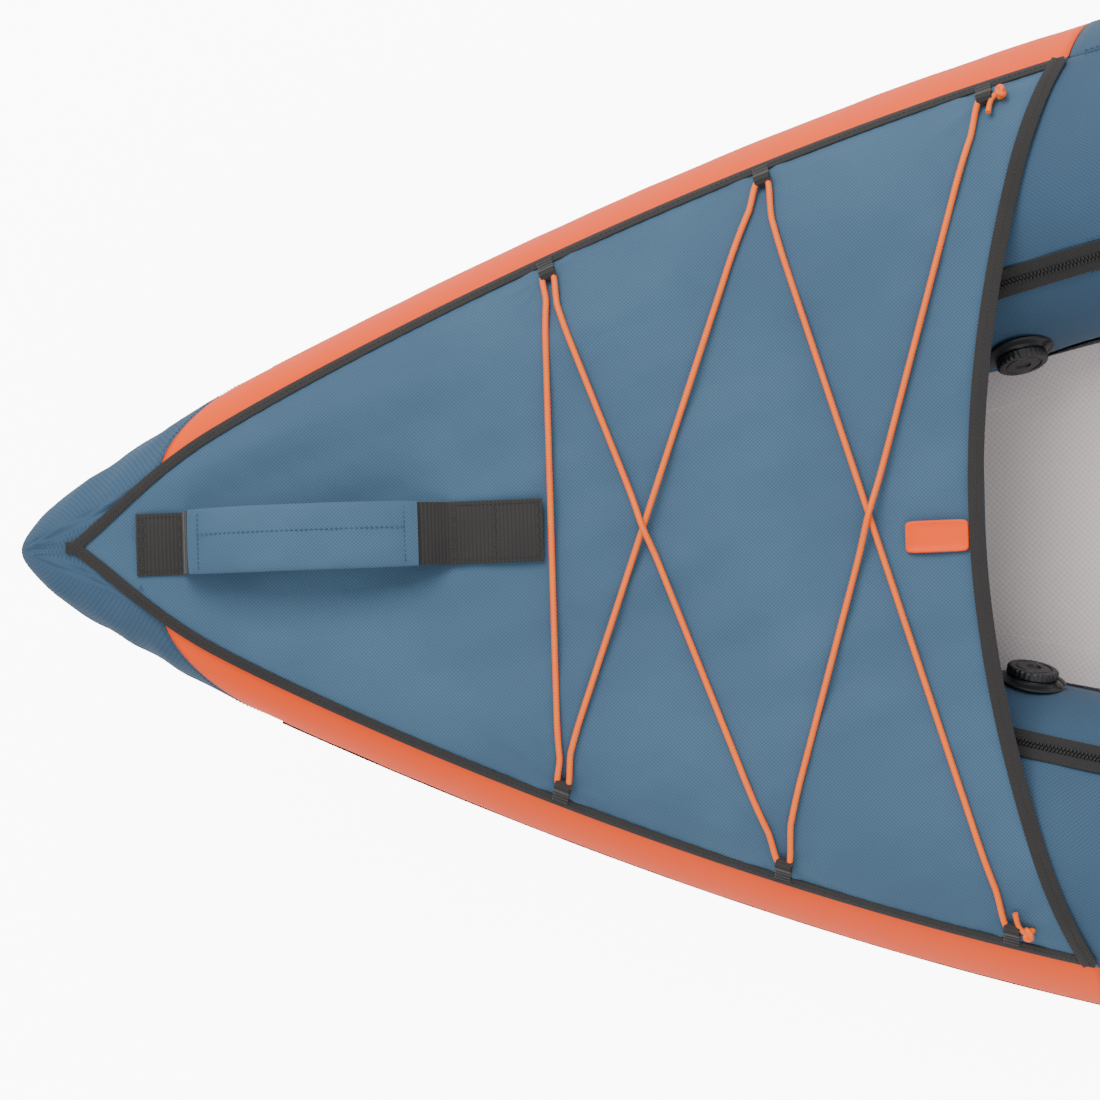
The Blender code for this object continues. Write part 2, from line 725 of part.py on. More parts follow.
def make_cord(looks):
    """One elastic cord, knotted at the two rearmost loops and crossing the deck five times."""
    height = DECK_TOP + CORD_LIFT + CORD_RADIUS
    route = [(3, -1), (2, 1), (1, -1), (1, 1), (2, -1), (3, 1)]
    towards_bow = (True, True, True, False, False, False)  # which way it runs through each eye
    half = LOOP_WIDTH / 2
    eyes = []
    for number, side in route:
        frame = loop_frame(LOOP_DISTANCES[number - 1], side)
        inset = BINDING_WIDTH + GAP + LOOP_REACH / frame.col[0].xyz.dot(Vector((0, -side, 0)))
        x = (frame @ Vector((LOOP_REACH, 0, 0))).x
        eyes.append((frame, x, side * (deck_half(x)[2] - inset)))
    points, knots = [], []
    for i, (frame, x, across) in enumerate(eyes):
        leave = -route[i][1] if towards_bow[i] else route[i][1]
        arrive = -leave
        reach = half + KNOT_RADIUS + TRIM_GAP
        eye = LOOP_HOLE + LOOP_WALL
        first, last = i == 0, i == len(eyes) - 1
        clear = (LOOP_REACH + 0.004, CORD_LIFT + CORD_RADIUS - TRIM_GAP)
        if not first:
            points.append(frame @ Vector((*clear, arrive * (half + 0.006))))
        for shift in (arrive, 0, leave):
            points.append(frame @ Vector((LOOP_REACH, eye, shift * (half + 0.0005))))
        if first or last:
            knots.append(frame @ Matrix.Translation((LOOP_REACH, eye, (arrive if first else leave) * reach)))
        if last:
            break
        points.append(frame @ Vector((*clear, leave * (half + 0.006))))
        points += leg_points((x, across), eyes[i + 1][1:], height, CROSSING_LIFTS[i])
    curve = bpy.data.curves.new("deck_cord", "CURVE")
    curve.dimensions = "3D"
    curve.bevel_depth = CORD_RADIUS
    curve.bevel_resolution = 2
    curve.use_fill_caps = True
    line = curve.splines.new("POLY")
    line.points.add(len(points) - 1)
    for slot, point in zip(line.points, points):
        slot.co = (*point, 1)
    add_object("deck_cord", curve, looks["cord"])
    profile = [(KNOT_RADIUS * math.sin(a), -KNOT_RADIUS * math.cos(a)) for a in (math.pi * k / 8 for k in range(9))]
    profile[0] = (0, -KNOT_RADIUS)
    profile[-1] = (0, KNOT_RADIUS)
    for name, seat in zip(("starboard", "port"), knots):
        flat = seat @ Matrix.Diagonal((1, 0.62, 1, 1))
        turned(f"cord_knot_{name}", profile, flat, looks["cord"], sides=14)


def make_handles(looks):
    """A carrying handle on each deck: webbing sewn down at both ends and a padded grip between."""
    for name, end in ENDS.items():
        across = Matrix.Rotation(math.radians(90), 4, "X")

        def height(distance, lift):
            return end_x(end, distance), skin(end_x(end, distance), 0, 0, DECK_TOP).z + lift

        low = TRIM_GAP + WEBBING / 2
        front = [
            height(HANDLE_FRONT, low),
            height(HANDLE_FRONT_FOOT - 0.004, low),
            height(HANDLE_FRONT_FOOT, low + 0.002),
            height(GRIP_FRONT - 0.0023, GRIP_END_HEIGHT + 0.0045),
        ]
        rear = [
            height(HANDLE_REAR, low),
            height(HANDLE_REAR_FOOT + 0.004, low),
            height(HANDLE_REAR_FOOT, low + 0.001),
            height(GRIP_REAR + 0.0032, GRIP_END_HEIGHT + 0.0045),
        ]
        middle = (GRIP_FRONT + GRIP_REAR) / 2
        rise = GRIP_CROWN_HEIGHT - GRIP_END_HEIGHT
        grip = [
            height(middle + (GRIP_REAR - GRIP_FRONT) / 2 * t, GRIP_END_HEIGHT + rise * (1 - t * t))
            for t in (-1, -0.6, -0.2, 0.2, 0.6, 1)
        ]
        for piece, line, thickness, width, look in (
            ("front_strap", front, WEBBING, HANDLE_WIDTH, "webbing"),
            ("rear_strap", rear, WEBBING, HANDLE_WIDTH, "webbing"),
            ("grip", grip, GRIP_THICKNESS, GRIP_WIDTH, "blue"),
        ):
            made = extruded(f"{name}_handle_{piece}", thick_line(line, thickness), width, across, looks[look])
        middle_x, crown = height(middle, GRIP_CROWN_HEIGHT)
        pivot_at(made, Vector((middle_x, 0, crown)))


def make_badge(looks):
    """A bare rectangular badge beside the bow deck's rear edge."""
    frame = deck_frame(end_x(1, BADGE_DISTANCE), BADGE_OFFSET, DECK_TOP + TRIM_GAP + BADGE_THICKNESS / 2)
    block("deck_badge", (BADGE_LENGTH, BADGE_WIDTH, BADGE_THICKNESS), frame, looks["orange"])


def make_zips(looks):
    """A closed zip along each tube cover and its slider, which runs on the straight middle."""
    step = TUBE_RADIUS * INNER_STEP
    half, teeth = ZIP_WIDTH / 2 / step, ZIP_TEETH_WIDTH / 2 / step
    girths = [ZIP_GIRTH + half, -1.0, ZIP_GIRTH + teeth, ZIP_GIRTH - teeth, ZIP_GIRTH - half]
    heights = [ZIP_TAPE, ZIP_TAPE, ZIP_TEETH_HEIGHT, ZIP_TEETH_HEIGHT, ZIP_TAPE]
    profile = [
        (0.0, 0.0), (0.014, 0.0), (0.014, 0.0035), (0.040, 0.0035), (0.040, 0.0053),
        (0.0125, 0.0057), (0.010, 0.0072), (0.003, 0.0072), (0.0, 0.0050),
    ]
    for name, side in SIDES.items():
        rows = rows_between(end_x(1, ZIP_START), end_x(-1, ZIP_START))
        outer = [[skin(x, side, g, TRIM_GAP + h) for g, h in zip(girths, heights)] for x in rows]
        inner = [[skin(x, side, g, TRIM_GAP) for g in girths] for x in rows]
        shell(f"zip_{name}", outer, inner, looks["webbing"])
        base = skin_frame(SLIDER_PLACE, side, ZIP_GIRTH, TRIM_GAP + ZIP_TEETH_HEIGHT + TRIM_GAP)
        along, normal = base.col[0].xyz, base.col[2].xyz
        frame = frame_from(base.translation, along, along.cross(normal))
        slider = extruded(f"zip_slider_{name}", profile, SLIDER_WIDTH, frame, looks["plastic"])
        pivot_at(slider, base.translation)


def make_tube_valves(looks, covers, bladders):
    """A two-part valve through each tube's inner side: body and hinged cap."""
    for name, side in SIDES.items():
        x = end_x(1, TUBE_VALVE_DISTANCE)
        seat = skin_frame(x, side, TUBE_VALVE_GIRTH, TRIM_GAP)
        for sheet in (covers[name], bladders[name]):
            drill(sheet, TUBE_VALVE_BARREL + HOLE_CLEARANCE, 0.02, seat)
        body = [
            (VALVE_BORE, -TUBE_VALVE_DEPTH), (TUBE_VALVE_BARREL, -TUBE_VALVE_DEPTH), (TUBE_VALVE_BARREL, 0.0),
            (TUBE_VALVE_FLANGE, 0.0), (TUBE_VALVE_FLANGE, 0.001), (TUBE_VALVE_FLANGE - 0.002, VALVE_FLANGE_HEIGHT),
            (TUBE_VALVE_NECK, VALVE_FLANGE_HEIGHT), (TUBE_VALVE_NECK, TUBE_VALVE_NECK_HEIGHT),
            (VALVE_BORE, TUBE_VALVE_NECK_HEIGHT),
        ]
        turned(f"tube_valve_body_{name}", body, seat, looks["plastic"])
        low = TUBE_VALVE_NECK_HEIGHT + GAP
        high = low + VALVE_CAP_HEIGHT
        radius = TUBE_VALVE_NECK
        cap = [(0, low), (radius, low), (radius, high - 0.002), (radius - 0.002, high), (0, high)]
        lid = turned(f"tube_valve_cap_{name}", cap, seat, looks["plastic"])
        pivot_at(lid, seat @ Vector((-(TUBE_VALVE_FLANGE + CAP_HINGE_REACH), 0, VALVE_FLANGE_HEIGHT)))


def make_floor_valve(looks, floor):
    """The floor's high-pressure valve: body, sprung plunger and hinged cap."""
    x, y = FLOOR_VALVE_X, BEAM / 2 - 2 * TUBE_RADIUS - FLOOR_VALVE_ROOM
    slope = (floor_top(x + 0.02) - floor_top(x - 0.02)) / 0.04
    seat = frame_from(Vector((x, y, floor_top(x) + TRIM_GAP)), Vector((1, 0, 0)), Vector((-slope, 0, 1)))
    drill(floor, FLOOR_VALVE_BARREL + HOLE_CLEARANCE, 0.02, seat)
    height = VALVE_FLANGE_HEIGHT + 0.003
    body = [
        (FLOOR_VALVE_BORE, -FLOOR_VALVE_DEPTH), (FLOOR_VALVE_BARREL, -FLOOR_VALVE_DEPTH),
        (FLOOR_VALVE_BARREL, 0.0), (FLOOR_VALVE_FLANGE, 0.0), (FLOOR_VALVE_FLANGE, 0.0015),
        (FLOOR_VALVE_FLANGE - 0.002, height), (FLOOR_VALVE_BORE, height),
        (FLOOR_VALVE_BORE, -0.002), (PLUNGER_RADIUS + HOLE_CLEARANCE, -0.004),
        (PLUNGER_RADIUS + HOLE_CLEARANCE, -0.012), (FLOOR_VALVE_BORE, -0.014),
    ]
    turned("floor_valve_body", body, seat, looks["plastic"])
    base = -0.006
    stem = [(0, base), (PLUNGER_RADIUS, base), (PLUNGER_RADIUS, base + PLUNGER_HEIGHT), (0, base + PLUNGER_HEIGHT)]
    pivot_at(turned("floor_valve_plunger", stem, seat, looks["orange"]), seat.translation)
    low, high = height + GAP, height + GAP + 0.006
    radius = FLOOR_VALVE_CAP
    cap = [(0, low), (radius, low), (radius, high - 0.002), (radius - 0.002, high), (0, high)]
    lid = turned("floor_valve_cap", cap, seat, looks["plastic"])
    pivot_at(lid, seat @ Vector((-(FLOOR_VALVE_FLANGE + CAP_HINGE_REACH), 0, height)))


def make_seat(looks):
    """Cushion, hinged backrest, two side straps and their anchor loops on the tubes."""
    length = CUSHION_FRONT - CUSHION_REAR
    cockpit = BEAM / 2 - 2 * TUBE_RADIUS
    back_half = cockpit - BACKREST_SIDE_ROOM
    base = max(floor_top(CUSHION_FRONT), floor_top(CUSHION_REAR)) + GAP
    middle = Matrix.Translation(((CUSHION_FRONT + CUSHION_REAR) / 2, 0, base + CUSHION_HEIGHT / 2))
    block("seat_cushion", (length, 2 * (cockpit - CUSHION_SIDE_ROOM), CUSHION_HEIGHT), middle, looks["foam"], 0.012)
    top = base + CUSHION_HEIGHT + TRIM_GAP
    lean = Matrix.Translation((CUSHION_REAR, 0, top)) @ Matrix.Rotation(-BACKREST_LEAN, 4, "Y")
    back = lean @ Matrix.Translation((-BACKREST_THICKNESS / 2, 0, BACKREST_HEIGHT / 2))
    size = (BACKREST_THICKNESS, 2 * back_half, BACKREST_HEIGHT)
    pivot_at(block("backrest", size, back, looks["foam"], 0.012), lean.translation)
    for name, side in SIDES.items():
        seat = skin_frame(ANCHOR_PLACE, side, TUBE_VALVE_GIRTH, TRIM_GAP)
        along, normal = seat.col[0].xyz, seat.col[2].xyz
        frame = frame_from(seat.translation, along, along.cross(normal))
        half = ANCHOR_LENGTH / 2
        outline = [
            (-half, 0), (half, 0), (half, 0.002), (half / 2, 0.0022), (half / 3, ANCHOR_HEIGHT),
            (-half / 3, ANCHOR_HEIGHT), (-half / 2, 0.0022), (-half, 0.002),
        ]
        hole = [
            (-half / 3, 0.0015), (half / 3, 0.0015), (half / 3, 0.0025), (half / 4, 0.005), (half / 5, 0.010),
            (-half / 5, 0.010), (-half / 4, 0.005), (-half / 3, 0.0025),
        ]
        extruded(f"seat_anchor_{name}", outline, ANCHOR_WIDTH, frame, looks["webbing"], hole)
        start = lean @ Vector((-BACKREST_THICKNESS / 2, 0, SEAT_STRAP_HEIGHT))
        start.y = side * (back_half + TRIM_GAP + SEAT_STRAP / 2)
        stop = seat @ Vector((-half / 3, 0, ANCHOR_HEIGHT + TRIM_GAP + SEAT_STRAP / 2))
        line = stop - start
        upright = Vector((0, 0, 1))
        ribbon = frame_from((start + stop) / 2, line, line.cross(upright))
        block(f"seat_strap_{name}", (line.length, SEAT_STRAP_WIDTH, SEAT_STRAP), ribbon, looks["webbing"])


def make_footrest(looks):
    """A padded roll on the floor under the bow deck, with a strap to each tube."""
    x = end_x(1, FOOTREST_DISTANCE)
    steps = [step / 8 for step in range(-8, 9)]
    rests = [floor_top(x + FOOTREST_RADIUS * t) + FOOTREST_RADIUS * math.sqrt(1 - t * t) for t in steps]
    height = GAP + max(rests)
    half = skin(x, 1, INNER_GIRTH / 2, 0).y - FOOTREST_SIDE_ROOM
    roll = [
        (0, -half), (FOOTREST_RADIUS - 0.008, -half), (FOOTREST_RADIUS, 0.008 - half),
        (FOOTREST_RADIUS, half - 0.008), (FOOTREST_RADIUS - 0.008, half), (0, half),
    ]
    frame = Matrix.Translation((x, 0, height)) @ Matrix.Rotation(math.radians(90), 4, "X")
    pivot_at(turned("footrest", roll, frame, looks["foam"], sides=20), frame.translation)
    for name, side in SIDES.items():
        wall_x = end_x(1, FOOT_STRAP_DISTANCE)
        wall = skin(wall_x, side, INNER_GIRTH / 2, 0)
        start = Vector((x, side * (half + GAP + FOOT_STRAP / 2), height))
        stop = Vector((wall_x, wall.y - side * (FOOT_STRAP + 2 * TRIM_GAP), height))
        line = stop - start
        ribbon = frame_from((start + stop) / 2, line, line.cross(Vector((0, 0, 1))))
        block(f"footrest_strap_{name}", (line.length, FOOT_STRAP_WIDTH, FOOT_STRAP), ribbon, looks["webbing"])


def make_fin_box(looks):
    """The slotted box glued under the stern that a fin slides into."""
    x = end_x(-1, FIN_DISTANCE)
    step = FIN_BOX_LENGTH / 2
    ahead, behind = skin(x + step, 0, OUTER_GIRTH, 0), skin(x - step, 0, OUTER_GIRTH, 0)
    along = (ahead - behind).normalized()
    down = Vector((along.z, 0, -along.x))
    middle = (ahead + behind) / 2
    bulge = max((skin(x + step * t / 8, 0, OUTER_GIRTH, 0) - middle).dot(down) for t in range(-8, 9))
    frame = frame_from(middle + down * (bulge + TRIM_GAP), Vector((0, -1, 0)), along)
    half, slot = FIN_BOX_WIDTH / 2, FIN_SLOT_WIDTH / 2
    floor = FIN_BOX_DEPTH - FIN_SLOT_DEPTH
    right = [
        (half + 0.02, 0), (half + 0.02, 0.002), (half, 0.004), (half - 0.004, FIN_BOX_DEPTH),
        (slot, FIN_BOX_DEPTH), (slot, floor),
    ]
    outline = right + [(-u, v) for u, v in reversed(right)]
    extruded("fin_box", outline, FIN_BOX_LENGTH, frame, looks["plastic"])


def main():
    clear_scene()
    looks = make_finishes()
    make_bottom(looks)
    make_side_panels(looks)
    covers = make_tube_covers(looks)
    make_noses(looks)
    bladders = make_bladders(looks)
    floor = make_floor(looks)
    make_decks(looks)
    make_bindings(looks)
    make_loops(looks)
    make_cord(looks)
    make_handles(looks)
    make_badge(looks)
    make_zips(looks)
    make_tube_valves(looks, covers, bladders)
    make_floor_valve(looks, floor)
    make_seat(looks)
    make_footrest(looks)
    make_fin_box(looks)


main()
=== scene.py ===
"""Looks of a single-seat touring inflatable kayak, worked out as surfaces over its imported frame.

+X is the bow, +Y is port and +Z is up. Lengths are in metres, and places along the hull are given as a
distance from the nearer nose.
"""

import logging
import math
from dataclasses import dataclass
from enum import Enum

import bmesh
import bpy
import numpy as np
from mathutils import Matrix, Vector


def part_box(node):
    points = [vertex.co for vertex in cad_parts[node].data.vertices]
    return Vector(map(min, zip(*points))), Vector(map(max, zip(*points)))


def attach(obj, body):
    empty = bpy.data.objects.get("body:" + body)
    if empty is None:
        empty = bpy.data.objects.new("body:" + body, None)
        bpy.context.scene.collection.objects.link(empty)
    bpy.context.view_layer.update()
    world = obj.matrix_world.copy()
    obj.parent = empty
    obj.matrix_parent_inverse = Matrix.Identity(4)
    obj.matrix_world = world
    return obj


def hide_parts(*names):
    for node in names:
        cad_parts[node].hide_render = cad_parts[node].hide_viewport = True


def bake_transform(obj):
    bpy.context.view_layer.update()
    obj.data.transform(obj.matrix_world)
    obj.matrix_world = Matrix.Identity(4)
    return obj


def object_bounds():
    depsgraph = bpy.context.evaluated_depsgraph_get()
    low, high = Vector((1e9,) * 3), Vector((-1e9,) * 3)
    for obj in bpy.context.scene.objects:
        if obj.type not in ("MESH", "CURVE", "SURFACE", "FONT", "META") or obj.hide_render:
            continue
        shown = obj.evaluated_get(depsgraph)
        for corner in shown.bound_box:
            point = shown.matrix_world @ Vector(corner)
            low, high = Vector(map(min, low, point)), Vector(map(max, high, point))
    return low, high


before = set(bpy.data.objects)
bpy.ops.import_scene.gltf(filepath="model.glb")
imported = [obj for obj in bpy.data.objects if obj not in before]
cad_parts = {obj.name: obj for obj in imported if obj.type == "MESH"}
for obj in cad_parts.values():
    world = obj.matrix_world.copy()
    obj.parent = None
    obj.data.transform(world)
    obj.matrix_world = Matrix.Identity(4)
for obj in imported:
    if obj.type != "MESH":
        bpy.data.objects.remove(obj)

LOG = logging.getLogger("kayak")
Array = np.ndarray
TAU = 2 * math.pi
CAD_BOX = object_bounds()
SIDES = {"port": 1, "starboard": -1}
ENDS = {"bow": 1, "stern": -1}


# Colour and nodes


def linear(hex_colour: str) -> tuple[float, float, float, float]:
    """Turns an sRGB hex colour into the linear colour that shaders take.

    Args:
        hex_colour: such as "#55758F".

    Returns:
        Red, green, blue and an alpha of 1.
    """
    parts = [int(hex_colour[i : i + 2], 16) / 255 for i in (1, 3, 5)]
    red, green, blue = (c / 12.92 if c <= 0.04045 else ((c + 0.055) / 1.055) ** 2.4 for c in parts)
    return red, green, blue, 1.0


def node(tree: bpy.types.NodeTree, kind: str, inputs: dict | None = None,
        **settings: object) -> bpy.types.Node:
    """Adds one shader node with its settings and links.

    Args:
        tree: the material's node tree.
        kind: the node's type, without its "ShaderNode" part.
        inputs: socket names or numbers, each with a value or with the socket that feeds it.
        settings: the node's own properties.

    Returns:
        The new node.
    """
    made = tree.nodes.new("ShaderNode" + kind)
    for name, value in settings.items():
        setattr(made, name, value)
    for key, value in (inputs or {}).items():
        if isinstance(value, bpy.types.NodeSocket):
            tree.links.new(value, made.inputs[key])
        else:
            made.inputs[key].default_value = value
    return made


class Weave(Enum):
    """How the threads or the mould shape a surface."""

    OXFORD = "oxford"
    TWILL = "twill"
    RIB = "rib"
    BRAID = "braid"
    GRAIN = "grain"


@dataclass(frozen=True)
class Finish:
    """One finish: its colours, its gloss and the relief of its weave or grain."""

    name: str
    colour: str
    # Painted shade: the darker colour that low places of the weave or grain are mixed towards.
    groove_shade: str  # in the grooves of the weave
    faded: str  # in the large soft patches of wear and dust
    weave: Weave
    pitch_mm: float
    relief_mm: float
    roughness: float
    patch_mm: float = 120.0
    fade: float = 0.35
    sheen: float = 0.0
    coat: float = 0.0
    gloss: float = 0.5
    alpha: float = 1.0

    def relief(self, tree: bpy.types.NodeTree) -> bpy.types.NodeSocket:
        """Works out the height of the weave, from 0 in a groove to 1 on a thread.

        A wave of one pitch is half of one plus the sine of place over pitch times a full turn. An oxford weave is
        the greater of a wave across and a wave along, each fading where the other's thread passes over. A twill is
        a wave on the slant, a rib a wave along with a fine one across, and a braid the product of two slants.

        Args:
            tree: the material's node tree.

        Returns:
            The socket that carries the height.
        """
        if self.weave is Weave.GRAIN:
            place = node(tree, "TexCoord").outputs["Object"]
            grain = {"Vector": place, "Scale": 1000 / self.pitch_mm, "Detail": 3.0, "Roughness": 0.6}
            return node(tree, "TexNoise", grain).outputs["Fac"]
        cloth = node(tree, "SeparateXYZ", {0: node(tree, "UVMap", uv_map="cloth").outputs["UV"]})
        across, along = cloth.outputs[0], cloth.outputs[1]

        def wave(place: bpy.types.NodeSocket, pitch_mm: float) -> bpy.types.NodeSocket:
            """A wave from -1 to 1 of one pitch along a place in metres."""
            turns = node(tree, "Math", {0: place, 1: TAU * 1000 / pitch_mm}, operation="MULTIPLY")
            return node(tree, "Math", {0: turns.outputs[0]}, operation="SINE").outputs[0]

        def mixed(a: bpy.types.NodeSocket, b: bpy.types.NodeSocket | float,
                how: str) -> bpy.types.NodeSocket:
            """Joins two numbers."""
            return node(tree, "Math", {0: a, 1: b}, operation=how).outputs[0]

        if self.weave is Weave.RIB:
            ribs, fine = wave(along, self.pitch_mm), wave(across, self.pitch_mm / 2)
            both = mixed(mixed(ribs, 0.8, "MULTIPLY"), mixed(fine, 0.2, "MULTIPLY"), "ADD")
        elif self.weave is Weave.TWILL:
            both = wave(mixed(across, along, "ADD"), self.pitch_mm)
        elif self.weave is Weave.BRAID:
            lean = mixed(along, 0.5, "MULTIPLY")
            both = mixed(
                wave(mixed(across, lean, "ADD"), self.pitch_mm),
                    wave(mixed(across, lean, "SUBTRACT"), self.pitch_mm),
                "MULTIPLY",
            )
        else:
            both = mixed(wave(across, self.pitch_mm), wave(along, self.pitch_mm), "MULTIPLY")
        return mixed(mixed(both, 0.5, "MULTIPLY"), 0.5, "ADD")

    def material(self) -> bpy.types.Material:
        """Builds the material once and hands out the same one after that.

        Returns:
            The material, on a Principled shader.
        """
        ready = bpy.data.materials.get(self.name)
        if ready:
            return ready
        material = bpy.data.materials.new(self.name)
        material.use_nodes = True
        tree = material.node_tree
        shader = tree.nodes["Principled BSDF"]
        height = self.relief(tree)
        place = node(tree, "TexCoord").outputs["Object"]
        patches = node(tree, "TexNoise", {"Vector": place, "Scale": 1000 / self.patch_mm, "Detail": 4.0})
        span = {"Value": patches.outputs["Fac"], "From Min": 0.35, "From Max": 0.7, "To Max": self.fade}
        amount = node(tree, "MapRange", span, interpolation_type="SMOOTHSTEP").outputs["Result"]
        base = node(tree, "Mix", {"Factor": amount, "A": linear(self.colour), "B": linear(self.faded)},
            data_type="RGBA")
        # Painted shade: below 0.6 of the relief height the colour is mixed up to 0.65 of the way towards the darker
        # colour, as if the grooves were shaded.
        groove = node(tree, "MapRange", {"Value": height, "From Max": 0.6, "To Min": 0.65, "To Max": 0.0})
        groove_shaded = node(
            tree, "Mix", {"Factor": groove.outputs["Result"], "A": base.outputs["Result"],
                "B": linear(self.groove_shade)},
            data_type="RGBA",
        )
        tree.links.new(groove_shaded.outputs["Result"], shader.inputs["Base Color"])
        matt = {"Value": patches.outputs["Fac"], "To Min": self.roughness - 0.06,
            "To Max": self.roughness + 0.06}
        tree.links.new(node(tree, "MapRange", matt).outputs["Result"], shader.inputs["Roughness"])
        bump = node(tree, "Bump", {"Height": height, "Distance": self.relief_mm / 1000, "Strength": 1.0})
        tree.links.new(bump.outputs["Normal"], shader.inputs["Normal"])
        shader.inputs["Sheen Weight"].default_value = self.sheen
        shader.inputs["Coat Weight"].default_value = self.coat
        shader.inputs["Specular IOR Level"].default_value = self.gloss
        shader.inputs["Alpha"].default_value = self.alpha
        return material


# Oxford polyester: threads are about 0.5 mm apart, drawn at 1.7 mm so that the weave shows. Matt, with soft fading.
TUBE_CLOTH = Finish("oxford_polyester", "#314F69", "#20384E", "#3F5E78", Weave.OXFORD, 3.4, 0.10, 0.82,
    160, 0.5, 0.05)
DECK_CLOTH = Finish("deck_oxford", "#3A5A74", "#243F56", "#486983", Weave.OXFORD, 3.0, 0.12, 0.82, 130,
    0.5, 0.05)
# PVC-coated cloth: calendered smooth, a soft satin gloss with a hardly visible grain.
ORANGE_PVC = Finish("coated_pvc_orange", "#FF5000", "#FB4800", "#FF5A04", Weave.GRAIN, 1.6, 0.02, 0.5,
    240, 0.5, gloss=0.2)
BLACK_PVC = Finish("coated_pvc_black", "#1D1F22", "#121315", "#2B2E31", Weave.GRAIN, 1.4, 0.04, 0.48, 200,
    0.5)
# Polypropylene webbing: ribs across the strap about 3 mm apart, dry and dark.
WEBBING = Finish("ribbed_webbing", "#211F1E", "#070606", "#2C2A28", Weave.RIB, 3.2, 0.45, 0.78, 30, 0.5,
    0.15)
TAPE = Finish("twill_tape", "#201D1C", "#080707", "#2B2827", Weave.TWILL, 2.6, 0.25, 0.8, 30, 0.5, 0.15)
# Braided elastic cord: fine slanting strands, slightly waxy.
CORD = Finish("braided_elastic", "#FF6C00", "#E85600", "#FF7E0A", Weave.BRAID, 2.4, 0.12, 0.55, 20, 0.4)
# Coated drop-stitch cloth: an embossed fine grain in warm grey.
FLOOR_CLOTH = Finish("drop_stitch_pvc", "#D8CCCB", "#BEB2B1", "#E2D8D6", Weave.OXFORD, 5.0, 0.12, 0.7,
    180, 0.4)
PLASTIC = Finish("moulded_nylon", "#17181A", "#0C0D0E", "#232426", Weave.GRAIN, 0.9, 0.05, 0.42, 40, 0.4)
ORANGE_PLASTIC = Finish("moulded_acetal", "#FF4300", "#E03600", "#FF5A10", Weave.GRAIN, 0.9, 0.04, 0.38,
    30, 0.4)
COIL = Finish("nylon_coil", "#1B1B1C", "#0B0B0B", "#2A2A2B", Weave.GRAIN, 0.8, 0.03, 0.4, 20, 0.4)
SEAT_CLOTH = Finish("seat_oxford", "#3B4854", "#28323B", "#4A5865", Weave.OXFORD, 3.2, 0.14, 0.85, 90,
    0.5, 0.2)
THREAD_BLUE = Finish("blue_thread", "#27445C", "#1A3145", "#345470", Weave.GRAIN, 0.5, 0.03, 0.7, 20, 0.5)
THREAD_BLACK = Finish("black_thread", "#252322", "#131211", "#3A3735", Weave.GRAIN, 0.5, 0.03, 0.6, 20, 0.5)
FILM = Finish("clear_film", "#C9CDD0", "#B4B9BD", "#D6DADC", Weave.GRAIN, 3.0, 0.02, 0.3, 90, 0.4)


# Surfaces


